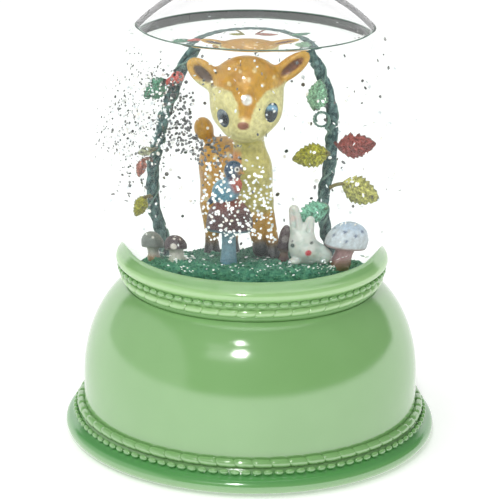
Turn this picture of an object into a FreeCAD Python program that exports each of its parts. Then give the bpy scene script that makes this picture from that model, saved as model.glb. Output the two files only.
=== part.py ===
import FreeCAD, Part
import math
import os

# A child's snow globe night light, in millimetres. The origin is the centre of the ring of feet, on the
# surface that the object stands on. +Z is up and -Y is the side that the fawn looks to.

# ---- driving dimensions: base ----
FOOT_STAND = 1.0            # the feet hold the flange this far off the table
FLANGE_OVERHANG = 5.7       # the foot flange stands out from the wall
FLANGE_ROUND = 2.2          # radius of the flange's rounded edge
FLANGE_LEDGE = 1.6          # the slope starts this far outside the wall
FLANGE_RISE = 0.7           # and this far above the beads' centre
FLANGE_CREST = 0.5          # the slope ends this far above the rounded edge
WALL_RADIUS = 51.7          # outside of the upright wall
WALL = 2.4                  # moulded wall
SHOULDER_START = 18.3       # height where the wall begins to curve in
SHOULDER_HEIGHT = 32.0      # half height of the shoulder's ellipse
SHOULDER_CENTRE = 30.0      # radius at which that ellipse is centred
DECK_RADIUS = 39.0          # the flat deck on top of the shoulder
ROPE_ROUND = 1.3            # rope mouldings
BEAD_ROUND = 0.75           # bead mouldings
ROPE_SUNK = 0.3             # the lower rope is set into the wall
BEAD_INSET = 2.9            # the lower beads inside the flange's edge
FOOT_ROPE_HEIGHT = 6.0      # lower rope above the flange's edge centre
FOOT_BEAD_HEIGHT = 3.95     # lower beads above the flange's edge centre

# ---- driving dimensions: collar ----
COLLAR_RADIUS = 41.0        # outside of the lip
COLLAR_CROWN = 0.3          # the lip's band bulges by this much
COLLAR_HEIGHT = 12.0        # deck to the lip's inner rim
BAND_LOW = 6.9              # the smooth band's lower and upper edge above the deck
BAND_HIGH = 9.8
ROPE_HEIGHT = 2.9           # upper rope above the deck
ROPE_OUT = 0.2              # upper rope's centre outside the deck's edge
BEAD_HEIGHT = 5.75          # upper beads above the deck
SEAT_RADIUS = 37.9          # where the glass meets the lip
SEAT_GAP = 0.15             # between glass and collar

# ---- driving dimensions: globe ----
GLOBE_RADIUS = 50.0
GLASS = 1.8
NECK_RADIUS = 29.0
NECK_DROP = 6.4             # neck's rim below the deck
BOND = 2.0                  # silicone between neck and socket
SOCKET_WALL = 2.0
AIR_CAP = 14.4              # depth of the air above the liquid, from the inside top of the globe
STOPPER_DEPTH = 8.5         # how far the stopper reaches into the neck
STOPPER_FLANGE = 1.5
STOPPER_WALL = 7.2          # around the window under the stopper
STOPPER_SKIN = 3.0

# ---- driving dimensions: scenery ----
GROUND_GAP = 1.2            # the mound goes in through the neck with this much to spare
GROUND_RISE = 6.2           # the mound's top above the lip
GROUND_EDGE = 4.1           # from the mound's top down to its edge
GROUND_SLOPE = 6.0          # from the mound's edge in to its shoulder
GROUND_CROWN = 0.8          # rise from the shoulder to the top
VINE_ROUND = 1.35
ARCH_HALF_WIDTH = 20.0
ARCH_COVER = 6.5            # liquid over the arch
ARCH_DEPTH = 5.0            # the arch stands behind the middle
LEAF_THICK = 0.6
STEM_ROUND = 0.35
FLAKES = 60
FLAKE_ACROSS = 1.2
FLAKE_THICK = 0.12
FLAKE_CLEAR = 5.0           # flakes stay this far inside the glass

# ---- driving dimensions: base plate, power and light ----
PLATE_THICK = 3.4
PLATE_INSET = 0.6           # plate's underside above the flange's
PLATE_REBATE = 1.3          # the rebate is this much wider than the wall
PLATE_GAP = 0.2
BOSS_RADIUS = 3.2
BOSS_HEIGHT = 28.0
BOSS_CLEAR = 1.6            # bosses stand this far inside the wall
SCREW_ROUND = 1.3
SCREW_HEAD = 2.5
SCREW_HEAD_THICK = 1.2
SCREW_HEAD_ROUND = 0.4
CROSS_WIDTH = 0.6
CROSS_SHARE = 0.66          # the cross spans this share of the head
SCREW_LENGTH = 9.0
THREAD_GAP = 0.05
HEAD_GAP = 0.4
FOOT_RADIUS = 4.5
FOOT_SUNK = 0.8
FOOT_INSET = 1.2            # feet inside the wall's outside
FOOT_EDGE = 0.5
CELL_RADIUS = 5.15
CELL_LENGTH = 44.5
NUB_RADIUS = 1.9
NUB_LENGTH = 0.8
CELL_SPACE = 0.7            # between neighbouring cells
CELLS = 3
CELL_GAP = 0.3
SPRING_LENGTH = 6.6
SPRING_WIRE = 0.35
SPRING_TURNS = 4
SPRING_INSET = 1.2          # widest turn inside the cell's radius
SPRING_TAPER = 0.4          # each turn is this much smaller
CONTACT_THICK = 0.4
CONTACT_SHORT = 2.0         # shorter than a cell is across
CONTACT_NARROW = 2.5        # narrower than the cells' pitch
TAIL_WIDTH = 3.0
TAIL_RISE = 3.6
WELL_WALL = 1.5
DOOR_THICK = 1.8
DOOR_LEDGE = 1.6
DOOR_GAP = 0.25
DOOR_TAB = 6.5
DOOR_TAB_WIDTH = 11.0
DOOR_CORNER = 2.0
GRIP_LINES = 4
GRIP_PITCH = 2.5
GRIP_EDGE = 4.0             # first grip line inside the door's end
GRIP_GROOVE = (1.0, 0.5)    # width and depth
SWITCH_Y = 31.0
SWITCH_TRAVEL = 3.0
SWITCH_RECESS = (15.0, 6.4, 1.4)
SWITCH_CASE = (15.0, 7.0, 5.2)
SLIDER = (5.4, 3.8, 2.7)
KNOB_STEM = (2.4, 2.6)
SLIDER_GAP = 0.2
KNOB_NOTCH = (0.3, 0.5, 0.7)    # width, depth and pitch of the knob's notches
TERMINAL = (0.8, 1.6, 2.0)
TERMINAL_PITCH = 4.0
BOARD_DROP = 11.4           # board's top face below the deck
BOARD_THICK = 1.6
BOARD_BOSS = 2.8
BOARD_MARGIN = 3.0
BOARD_SCREWS = 3
LED_SIZE = (5.0, 5.0, 1.5)
LED_WINDOW = (1.6, 2.0, 0.4)    # radius below and above, and depth
LED_RING = 11.0
LEDS = 4
CHIP_SIZE = (5.0, 4.0, 1.5)
CHIP_Y = -8.0
RESISTOR_SIZE = (2.0, 1.2, 0.6)
RESISTOR_PITCH = 8.0
RESISTOR_Y = -16.0
LEAD_ROUND = 0.6
LEAD_SHARE = 0.45           # share of the shorter run that an arc may take

# ---- heights and radii that follow ----
RIM_Z = FOOT_STAND + FLANGE_ROUND
RIM_RADIUS = WALL_RADIUS + FLANGE_OVERHANG
SHOULDER_WIDTH = WALL_RADIUS - SHOULDER_CENTRE
DECK_SHARE = (DECK_RADIUS - SHOULDER_CENTRE) / SHOULDER_WIDTH
DECK_Z = SHOULDER_START + SHOULDER_HEIGHT * math.sqrt(1 - DECK_SHARE ** 2)
LIP_Z = DECK_Z + COLLAR_HEIGHT
GLOBE_Z = LIP_Z + math.sqrt(GLOBE_RADIUS ** 2 - SEAT_RADIUS ** 2)
INSIDE_RADIUS = GLOBE_RADIUS - GLASS
NECK_Z = DECK_Z - NECK_DROP
BORE_RADIUS = NECK_RADIUS - GLASS
STOPPER_HOLLOW = BORE_RADIUS - STOPPER_WALL
WATER_Z = GLOBE_Z + INSIDE_RADIUS - AIR_CAP
STOPPER_TOP = NECK_Z + STOPPER_DEPTH
STOPPER_BOTTOM = NECK_Z - STOPPER_FLANGE
GROUND_Z = LIP_Z + GROUND_RISE
GROUND_RADIUS = BORE_RADIUS - GROUND_GAP
GROUND_SHOULDER = GROUND_RADIUS - GROUND_SLOPE
SOCKET_RADIUS = NECK_RADIUS + BOND
PLATE_Z = FOOT_STAND + PLATE_INSET
PLATE_TOP = PLATE_Z + PLATE_THICK
REBATE_RADIUS = WALL_RADIUS + PLATE_REBATE
PLATE_SCREW_RADIUS = WALL_RADIUS - WALL - BOSS_RADIUS - BOSS_CLEAR
DOOR_TOP = PLATE_Z + DOOR_THICK
CELL_Z = DOOR_TOP + CELL_GAP + CELL_RADIUS
CELL_PITCH = 2 * CELL_RADIUS + CELL_SPACE
WELL_X = (CELL_LENGTH + SPRING_LENGTH) / 2 + CONTACT_THICK
WELL_Y = CELL_PITCH * (CELLS - 1) / 2 + CELL_RADIUS + CELL_GAP
WELL_TOP = CELL_Z + CELL_RADIUS + CELL_GAP
BOARD_TOP = DECK_Z - BOARD_DROP
BOARD_Z = BOARD_TOP - BOARD_THICK
BOARD_SCREW_RADIUS = SOCKET_RADIUS + SOCKET_WALL + BOARD_BOSS
BOARD_RADIUS = BOARD_SCREW_RADIUS + BOARD_MARGIN
TAIL_TOP = WELL_TOP + WELL_WALL + TAIL_RISE
SWITCH_REST = -SWITCH_TRAVEL / 2
TERMINAL_TOP = PLATE_TOP + SWITCH_CASE[2] + TERMINAL[2]

UP = FreeCAD.Vector(0, 0, 1)
ORIGIN = FreeCAD.Vector(0, 0, 0)
CUT_MORE = 5.0              # tools of a cut run past the face by this much


# ---- general shapes ----
def point(x, y, z):
    """A point in the object's frame."""
    return FreeCAD.Vector(x, y, z)


def flat(pair):
    """A point of an outline, given as radius and height."""
    return FreeCAD.Vector(pair[0], 0, pair[1])


def outline(start, *steps):
    """Closed edges: a step is (r, z) for a straight, or ((r, z), (r, z)) for an arc by its middle."""
    edges = []
    here = start
    last = steps[-1][-1] if isinstance(steps[-1][0], tuple) else steps[-1]
    closing = () if last == start else (start,)
    for step in steps + closing:
        if isinstance(step[0], tuple):
            middle, there = step
            edges.append(Part.Arc(flat(here), flat(middle), flat(there)).toShape())
        else:
            there = step
            edges.append(Part.makeLine(flat(here), flat(there)))
        here = there
    return edges


def quarter_ellipse(radius, low, width, height):
    """The quarter of an ellipse from its top to its side, centred at a radius and height, as an edge."""
    centre = point(radius, 0, low)
    tip = point(radius, 0, low + height)
    side = point(radius + width, 0, low)
    ellipse = Part.Ellipse(tip, side, centre) if height >= width else Part.Ellipse(side, tip, centre)
    quarter = Part.makePlane(2 * width, 2 * height, centre, point(0, -1, 0), point(1, 0, 0))
    return ellipse.toShape().common(quarter).Edges[0]


def lathe(edges):
    """Turn closed edges about the Z axis."""
    face = Part.Face(Part.Wire(Part.sortEdges(edges)[0]))
    return face.revolve(ORIGIN, UP, 360)


def rod(radius, low, high, x=0.0, y=0.0):
    """An upright round bar."""
    return Part.makeCylinder(radius, high - low, point(x, y, low))


def block(size_x, size_y, low, high, x=0.0, y=0.0):
    """A box centred on x, y."""
    return Part.makeBox(size_x, size_y, high - low, point(x - size_x / 2, y - size_y / 2, low))


def round_block(size_x, size_y, low, high, corner):
    """A box about the Z axis with rounded upright edges."""
    body = block(size_x, size_y, low, high)
    upright = [e for e in body.Edges if abs(e.tangentAt(e.FirstParameter).z) > 0.9]
    return body.makeFillet(corner, upright)


def ring_of_beads(radius, height, bead):
    """A round moulding that runs about the Z axis."""
    return Part.makeTorus(radius, bead, point(0, 0, height))


def around(count, radius, start_angle):
    """Evenly spaced places on a circle, as x, y."""
    turn = 2 * math.pi / count
    first = math.radians(start_angle)
    return [(radius * math.cos(first + turn * k), radius * math.sin(first + turn * k)) for k in range(count)]


def capsule(start, end, radius_start, radius_end):
    """A limb: a cone between two points, with a ball at each."""
    axis = end - start
    ball_a = Part.makeSphere(radius_start, start)
    ball_b = Part.makeSphere(radius_end, end)
    if abs(radius_start - radius_end) < 0.01:
        bar = Part.makeCylinder(radius_start, axis.Length, start, axis)
    else:
        bar = Part.makeCone(radius_start, radius_end, axis.Length, start, axis)
    return bar.fuse([ball_a, ball_b]).removeSplitter()


def tube_along(points, radius):
    """A round tube on straight runs joined by tangent arcs."""
    edges = []
    here = points[0]
    for before, corner, after in zip(points, points[1:], points[2:]):
        into = (corner - before).normalize()
        out = (after - corner).normalize()
        turn = into.getAngle(out)
        cut = LEAD_SHARE * min((corner - before).Length, (after - corner).Length)
        bend = cut / math.tan(turn / 2)
        arc_start = corner - into * cut
        arc_end = corner + out * cut
        inward = (out - into).normalize()
        middle = corner + inward * (bend / math.cos(turn / 2) - bend)
        edges.append(Part.makeLine(here, arc_start))
        edges.append(Part.Arc(arc_start, middle, arc_end).toShape())
        here = arc_end
    edges.append(Part.makeLine(here, points[-1]))
    path = Part.Wire(edges)
    start_way = (points[1] - points[0]).normalize()
    circle = Part.Wire(Part.makeCircle(radius, points[0], start_way))
    return path.makePipeShell([circle], True, False)


def group(solids):
    """Separate solids that share one node."""
    return Part.makeCompound(solids)


# ---- globe ----
def globe_inside(low, top_radius):
    """The inside of the glass, from a height in the neck to the top."""
    ball = Part.makeSphere(top_radius, point(0, 0, GLOBE_Z))
    neck = rod(BORE_RADIUS, low, GLOBE_Z)
    return ball.fuse(neck).removeSplitter()


def make_glass():
    """The blown ball with its neck, open at the bottom."""
    ball = Part.makeSphere(GLOBE_RADIUS, point(0, 0, GLOBE_Z))
    outside = ball.fuse(rod(NECK_RADIUS, NECK_Z, GLOBE_Z))
    return outside.cut(globe_inside(NECK_Z - CUT_MORE, INSIDE_RADIUS)).removeSplitter()


def make_stopper():
    """The clear plug in the neck, hollow below so that the light comes through."""
    window_top = STOPPER_TOP - STOPPER_SKIN
    plug = rod(BORE_RADIUS, NECK_Z, STOPPER_TOP)
    flange = rod(NECK_RADIUS, STOPPER_BOTTOM, NECK_Z)
    window = rod(STOPPER_HOLLOW, STOPPER_BOTTOM - CUT_MORE, window_top)
    return plug.fuse(flange).cut(window).removeSplitter()


def make_bond():
    """The ring of silicone that holds the neck in its socket."""
    top = DECK_Z
    low = NECK_Z + BOND / 2
    return rod(SOCKET_RADIUS, low, top).cut(rod(NECK_RADIUS, low - CUT_MORE, top + CUT_MORE))


# ---- base shell ----
def dome_of(width, height, low):
    """A solid dome: wall, shoulder and a flat top at the ellipse's tip."""
    tip = (SHOULDER_CENTRE, SHOULDER_START + height)
    side = (SHOULDER_CENTRE + width, SHOULDER_START)
    straight = [side, (side[0], low), (0, low), (0, tip[1]), tip]
    edges = [Part.makeLine(flat(a), flat(b)) for a, b in zip(straight, straight[1:])]
    return lathe(edges + [quarter_ellipse(SHOULDER_CENTRE, SHOULDER_START, width, height)])


def foot_flange():
    """The spreading foot: a slope under the beads and a rounded edge."""
    edge_radius = RIM_RADIUS - FLANGE_ROUND
    slope_top = (WALL_RADIUS + FLANGE_LEDGE, RIM_Z + FOOT_BEAD_HEIGHT + FLANGE_RISE)
    slope_foot = (edge_radius - FLANGE_CREST, RIM_Z + FLANGE_ROUND + FLANGE_CREST)
    inside = WALL_RADIUS - WALL
    side = (RIM_RADIUS, RIM_Z)
    crest = (edge_radius, RIM_Z + FLANGE_ROUND)
    bottom = (edge_radius, FOOT_STAND)
    half = FLANGE_ROUND * math.sqrt(0.5)
    upper = (edge_radius + half, RIM_Z + half)
    lower = (edge_radius + half, RIM_Z - half)
    return lathe(outline(bottom, (inside, FOOT_STAND), (inside, slope_top[1]), slope_top, slope_foot,
                         crest, (upper, side), (lower, bottom)))


def screw_holes(places, radius, low, high):
    """Upright holes at each place."""
    return [rod(radius, low, high, x, y) for x, y in places]


def make_housing():
    """The moulded base: foot, rope and bead mouldings, wall, shoulder, deck, socket and bosses."""
    inner_width = SHOULDER_WIDTH - WALL
    deck_cut = rod(RIM_RADIUS, DECK_Z, DECK_Z + SHOULDER_HEIGHT)
    shell = dome_of(SHOULDER_WIDTH, SHOULDER_HEIGHT, FOOT_STAND).cut(deck_cut)
    under_deck = DECK_Z - WALL
    hollow = dome_of(inner_width, SHOULDER_HEIGHT - WALL, FOOT_STAND - CUT_MORE)
    hollow = hollow.cut(rod(RIM_RADIUS, under_deck, DECK_Z + SHOULDER_HEIGHT))
    rope = ring_of_beads(WALL_RADIUS + ROPE_ROUND - ROPE_SUNK, RIM_Z + FOOT_ROPE_HEIGHT, ROPE_ROUND)
    beads = ring_of_beads(RIM_RADIUS - BEAD_INSET, RIM_Z + FOOT_BEAD_HEIGHT, BEAD_ROUND)
    shell = shell.fuse([foot_flange(), rope, beads])
    shell = shell.cut(hollow)
    socket = rod(SOCKET_RADIUS + SOCKET_WALL, NECK_Z - 1.0, DECK_Z)
    plate_bosses = screw_holes(plate_screw_places(), BOSS_RADIUS, PLATE_TOP, PLATE_TOP + BOSS_HEIGHT)
    board_bosses = screw_holes(board_screw_places(), BOARD_BOSS, BOARD_TOP, DECK_Z - WALL / 2)
    shell = shell.fuse([socket] + plate_bosses + board_bosses)
    bore = rod(SOCKET_RADIUS, NECK_Z - CUT_MORE, DECK_Z + CUT_MORE)
    rebate = rod(REBATE_RADIUS, FOOT_STAND - CUT_MORE, PLATE_TOP)
    plate_threads = screw_holes(plate_screw_places(), SCREW_ROUND + THREAD_GAP, PLATE_TOP - CUT_MORE,
                                PLATE_TOP + SCREW_LENGTH)
    board_threads = screw_holes(board_screw_places(), SCREW_ROUND + THREAD_GAP, BOARD_TOP - CUT_MORE,
                                BOARD_TOP + SCREW_LENGTH / 2 + 1.0)
    return shell.cut([bore, rebate] + plate_threads + board_threads).removeSplitter()


def make_collar():
    """The ring that sits on the deck and holds the glass: rope, beads, smooth band and sloping lip."""
    gap_radius = GLOBE_RADIUS + SEAT_GAP
    inner_low = SOCKET_RADIUS
    inner_low_z = GLOBE_Z - math.sqrt(gap_radius ** 2 - inner_low ** 2)
    rim = math.sqrt(gap_radius ** 2 - (GLOBE_Z - LIP_Z) ** 2)
    half_way = (inner_low + rim) / 2
    half_way_z = GLOBE_Z - math.sqrt(gap_radius ** 2 - half_way ** 2)
    band_low = DECK_Z + BAND_LOW
    band_high = DECK_Z + BAND_HIGH
    band_mid = (COLLAR_RADIUS + COLLAR_CROWN, (band_low + band_high) / 2)
    groove = COLLAR_RADIUS - BEAD_ROUND
    slope_mid = ((rim + COLLAR_RADIUS) / 2, (LIP_Z + band_high) / 2 - COLLAR_CROWN)
    body = lathe(outline((inner_low, DECK_Z), (DECK_RADIUS, DECK_Z), (groove, DECK_Z + ROPE_HEIGHT),
                         (groove, band_low), (COLLAR_RADIUS, band_low), (band_mid, (COLLAR_RADIUS, band_high)),
                         (slope_mid, (rim + 0.5, LIP_Z)), (rim, LIP_Z),
                         ((half_way, half_way_z), (inner_low, inner_low_z))))
    rope = ring_of_beads(DECK_RADIUS + ROPE_OUT, DECK_Z + ROPE_HEIGHT, ROPE_ROUND)
    beads = ring_of_beads(COLLAR_RADIUS - BEAD_ROUND / 2, DECK_Z + BEAD_HEIGHT, BEAD_ROUND)
    return body.fuse([rope, beads]).removeSplitter()


# ---- base plate and what it carries ----
def plate_screw_places():
    """Four screws between the feet."""
    return around(4, PLATE_SCREW_RADIUS, 45)


def foot_places():
    """Four feet, one on each axis."""
    return around(4, WALL_RADIUS - FOOT_RADIUS - FOOT_INSET, 0)


def board_screw_places():
    """Screws of the light board, under the deck."""
    return around(BOARD_SCREWS, BOARD_SCREW_RADIUS, 90)


def cell_rows():
    """Each cell's y and the way its nub points."""
    first = -CELL_PITCH * (CELLS - 1) / 2
    return [(first + CELL_PITCH * k, 1 if k % 2 == 0 else -1) for k in range(CELLS)]


def door_shape(grow, low, high):
    """The door with its screw tab, or the rebate that it lies in."""
    length = 2 * (WELL_X + DOOR_LEDGE) + 2 * grow
    width = 2 * (WELL_Y + DOOR_LEDGE) + 2 * grow
    panel = round_block(length, width, low, high, DOOR_CORNER)
    tab_x = -(WELL_X + DOOR_LEDGE + DOOR_TAB / 2) - grow / 2
    tab = block(DOOR_TAB + grow + 2, DOOR_TAB_WIDTH + 2 * grow, low, high, tab_x + 1)
    return panel.fuse(tab).removeSplitter()


def door_screw_x():
    """The door's screw stands in the middle of its tab."""
    return -(WELL_X + DOOR_LEDGE + DOOR_TAB / 2)


def contact_tails():
    """Places of the two contacts whose tails come up through the well's roof."""
    rows = cell_rows()
    return [(1, rows[0][0]), (-1, rows[-1][0])]


def tail_box(side, y, grow):
    """One contact's tail, or the slot that it passes."""
    x = side * (WELL_X - CONTACT_THICK / 2)
    return block(CONTACT_THICK + 2 * grow, TAIL_WIDTH + 2 * grow, CELL_Z, TAIL_TOP + grow, x, y)


def make_base_plate():
    """The round plate with the battery well, screw recesses, switch slot and seats for the feet."""
    disc = rod(REBATE_RADIUS - PLATE_GAP, PLATE_Z, PLATE_TOP)
    well = block(2 * (WELL_X + WELL_WALL), 2 * (WELL_Y + WELL_WALL), PLATE_Z, WELL_TOP + WELL_WALL)
    door_boss = rod(BOSS_RADIUS, PLATE_TOP - 1.0, PLATE_TOP + SCREW_LENGTH, door_screw_x())
    plate = disc.fuse([well, door_boss])
    cuts = [block(2 * WELL_X, 2 * WELL_Y, PLATE_Z - CUT_MORE, WELL_TOP)]
    cuts.append(door_shape(DOOR_GAP, PLATE_Z - CUT_MORE, DOOR_TOP + THREAD_GAP))
    cuts.append(rod(SCREW_ROUND + THREAD_GAP, DOOR_TOP - 1.0, PLATE_TOP + SCREW_LENGTH - 1.0, door_screw_x()))
    cuts += screw_holes(plate_screw_places(), SCREW_ROUND + THREAD_GAP, PLATE_Z - CUT_MORE, PLATE_TOP + CUT_MORE)
    cuts += screw_holes(plate_screw_places(), SCREW_HEAD + HEAD_GAP, PLATE_Z - CUT_MORE,
                        PLATE_Z + SCREW_HEAD_THICK + HEAD_GAP)
    cuts += screw_holes(foot_places(), FOOT_RADIUS, PLATE_Z - CUT_MORE, PLATE_Z + FOOT_SUNK)
    recess_top = PLATE_Z + SWITCH_RECESS[2]
    cuts.append(block(SWITCH_RECESS[0], SWITCH_RECESS[1], PLATE_Z - CUT_MORE, recess_top, 0, SWITCH_Y))
    slot_x = KNOB_STEM[0] + SWITCH_TRAVEL + 2 * SLIDER_GAP
    cuts.append(block(slot_x, KNOB_STEM[1] + 2 * SLIDER_GAP, PLATE_Z, PLATE_TOP + CUT_MORE, 0, SWITCH_Y))
    cuts += [tail_box(side, y, THREAD_GAP) for side, y in contact_tails()]
    return plate.cut(cuts).removeSplitter()


def screw(x, y, head_low, length):
    """A cross-head screw that points up."""
    shank_low = head_low + SCREW_HEAD_THICK
    head = rod(SCREW_HEAD, head_low, shank_low, x, y)
    head = head.makeFillet(SCREW_HEAD_ROUND, [e for e in head.Edges if abs(e.CenterOfMass.z - head_low) < 0.01])
    shank = rod(SCREW_ROUND, shank_low, shank_low + length, x, y)
    cross_depth = head_low + SCREW_HEAD_THICK / 2
    arm = 2 * SCREW_HEAD * CROSS_SHARE
    bar_a = block(arm, CROSS_WIDTH, head_low - 1.0, cross_depth, x, y)
    bar_b = block(CROSS_WIDTH, arm, head_low - 1.0, cross_depth, x, y)
    return head.fuse(shank).cut([bar_a, bar_b]).removeSplitter()


def make_plate_screws():
    """The four screws that hold the plate."""
    head_low = PLATE_Z + HEAD_GAP
    return group([screw(x, y, head_low, SCREW_LENGTH) for x, y in plate_screw_places()])


def make_feet():
    """Soft pads glued in the plate's seats."""
    pads = []
    for x, y in foot_places():
        pad = rod(FOOT_RADIUS, 0, PLATE_Z + FOOT_SUNK, x, y)
        pads.append(pad.makeFillet(FOOT_EDGE, [e for e in pad.Edges if abs(e.CenterOfMass.z) < 0.01]))
    return group(pads)


def make_door():
    """The battery door with a finger rib and the recess of its screw."""
    door = door_shape(0, PLATE_Z, DOOR_TOP)
    hole = rod(SCREW_ROUND + THREAD_GAP * 4, PLATE_Z - CUT_MORE, DOOR_TOP + CUT_MORE, door_screw_x())
    recess = rod(SCREW_HEAD + THREAD_GAP * 4, PLATE_Z - CUT_MORE, PLATE_Z + SCREW_HEAD_THICK, door_screw_x())
    grooves = [block(GRIP_GROOVE[0], WELL_Y, PLATE_Z - CUT_MORE, PLATE_Z + GRIP_GROOVE[1],
                     WELL_X - GRIP_EDGE - GRIP_PITCH * k) for k in range(GRIP_LINES)]
    return door.cut([hole, recess] + grooves)


def make_door_screw():
    """The door's captive screw."""
    return screw(door_screw_x(), 0, PLATE_Z, PLATE_TOP - PLATE_Z - SCREW_HEAD_THICK + SCREW_LENGTH - 2.0)


def make_cell(y, way):
    """One dry cell with its nub towards `way`."""
    nub_end = way * (WELL_X - CONTACT_THICK)
    body_start = point(nub_end - way * NUB_LENGTH, y, CELL_Z)
    body = Part.makeCylinder(CELL_RADIUS, CELL_LENGTH - NUB_LENGTH, body_start, point(-way, 0, 0))
    body = body.makeChamfer(0.5, [e for e in body.Edges if len(e.Vertexes) == 1])
    nub = Part.makeCylinder(NUB_RADIUS, NUB_LENGTH, body_start, point(way, 0, 0))
    return body.fuse(nub)


def make_springs():
    """A coil against the flat end of each cell: rings that shrink towards it, on a spine."""
    springs = []
    for y, way in cell_rows():
        wall_x = -way * (WELL_X - CONTACT_THICK)
        step = (SPRING_LENGTH - 2 * SPRING_WIRE) / (SPRING_TURNS - 1)
        rings = []
        for k in range(SPRING_TURNS):
            x = wall_x + way * (SPRING_WIRE + step * k)
            coil_radius = CELL_RADIUS - SPRING_INSET - SPRING_TAPER * k
            rings.append(Part.makeTorus(coil_radius, SPRING_WIRE, point(x, y, CELL_Z), point(1, 0, 0)))
        top_a = point(wall_x + way * SPRING_WIRE, y, CELL_Z + CELL_RADIUS - SPRING_INSET)
        top_b = point(wall_x + way * (SPRING_LENGTH - SPRING_WIRE), y,
                      CELL_Z + CELL_RADIUS - SPRING_INSET - SPRING_TAPER * (SPRING_TURNS - 1))
        spine = Part.makeCylinder(SPRING_WIRE * 0.8, (top_b - top_a).Length, top_a, top_b - top_a)
        springs.append(rings[0].fuse(rings[1:] + [spine]))
    return group(springs)


def make_contacts():
    """Sheet contacts on the well's end walls: two bridges and two with tails."""
    rows = [y for y, _ in cell_rows()]
    height = 2 * CELL_RADIUS - CONTACT_SHORT
    width = CELL_PITCH - CONTACT_NARROW
    low = CELL_Z - height / 2

    def plate(side, y_low, y_high):
        x = side * (WELL_X - CONTACT_THICK / 2)
        return block(CONTACT_THICK, y_high - y_low, low, low + height, x, (y_low + y_high) / 2)

    single_right = plate(1, rows[0] - width / 2, rows[0] + width / 2)
    bridge_right = plate(1, rows[1] - width / 2, rows[2] + width / 2)
    bridge_left = plate(-1, rows[0] - width / 2, rows[1] + width / 2)
    single_left = plate(-1, rows[2] - width / 2, rows[2] + width / 2)
    tails = [tail_box(side, y, 0) for side, y in contact_tails()]
    return group([single_right.fuse(tails[0]).removeSplitter(), bridge_right, bridge_left,
                  single_left.fuse(tails[1]).removeSplitter()])


# ---- switch ----
def make_switch_case():
    """The slide switch's case, open below, with three terminals on top."""
    case = block(SWITCH_CASE[0], SWITCH_CASE[1], PLATE_TOP, PLATE_TOP + SWITCH_CASE[2], 0, SWITCH_Y)
    cavity = block(SLIDER[0] + SWITCH_TRAVEL + 2 * SLIDER_GAP, SLIDER[1] + 2 * SLIDER_GAP,
                   PLATE_TOP - CUT_MORE, PLATE_TOP + SLIDER[2] + 3 * SLIDER_GAP, 0, SWITCH_Y)
    low = PLATE_TOP + SWITCH_CASE[2] - 0.5
    pins = [block(TERMINAL[0], TERMINAL[1], low, TERMINAL_TOP, TERMINAL_PITCH * k, SWITCH_Y) for k in (-1, 0, 1)]
    return case.cut(cavity).fuse(pins).removeSplitter()


def make_switch_knob():
    """The slider and its finger piece, at the off end."""
    slider = block(SLIDER[0], SLIDER[1], PLATE_TOP + SLIDER_GAP, PLATE_TOP + SLIDER_GAP + SLIDER[2],
                   SWITCH_REST, SWITCH_Y)
    stem = block(KNOB_STEM[0], KNOB_STEM[1], PLATE_Z + 0.2, PLATE_TOP + 1.0, SWITCH_REST, SWITCH_Y)
    notches = [block(KNOB_NOTCH[0], KNOB_STEM[1] + 1, PLATE_Z, PLATE_Z + KNOB_NOTCH[1],
                     SWITCH_REST + KNOB_NOTCH[2] * k, SWITCH_Y) for k in (-1, 0, 1)]
    return slider.fuse(stem).cut(notches).removeSplitter()


# ---- light ----
def make_board():
    """The round light board."""
    disc = rod(BOARD_RADIUS, BOARD_Z, BOARD_TOP)
    return disc.cut(screw_holes(board_screw_places(), SCREW_ROUND + THREAD_GAP, BOARD_Z - 1, BOARD_TOP + 1))


def make_board_screws():
    """Screws of the light board."""
    head_low = BOARD_Z - SCREW_HEAD_THICK
    return group([screw(x, y, head_low, BOARD_THICK + SCREW_LENGTH / 2) for x, y in board_screw_places()])


def make_leds():
    """Square lamps with a round yellow window."""
    lamps = []
    for x, y in around(LEDS, LED_RING, 45):
        body = block(LED_SIZE[0], LED_SIZE[1], BOARD_TOP, BOARD_TOP + LED_SIZE[2], x, y)
        dish = Part.makeCone(*LED_WINDOW, point(x, y, BOARD_TOP + LED_SIZE[2] - LED_WINDOW[2]))
        lamps.append(body.cut(dish))
    return group(lamps)


def make_board_parts():
    """The driver chip and three resistors on the board's underside."""
    parts = [block(CHIP_SIZE[0], CHIP_SIZE[1], BOARD_Z - CHIP_SIZE[2], BOARD_Z, 0, CHIP_Y)]
    for k in (-1, 0, 1):
        parts.append(block(RESISTOR_SIZE[0], RESISTOR_SIZE[1], BOARD_Z - RESISTOR_SIZE[2], BOARD_Z,
                           RESISTOR_PITCH * k, RESISTOR_Y))
    return group(parts)


def make_lead(points):
    """One insulated wire."""
    return tube_along([point(*p) for p in points], LEAD_ROUND)


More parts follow.
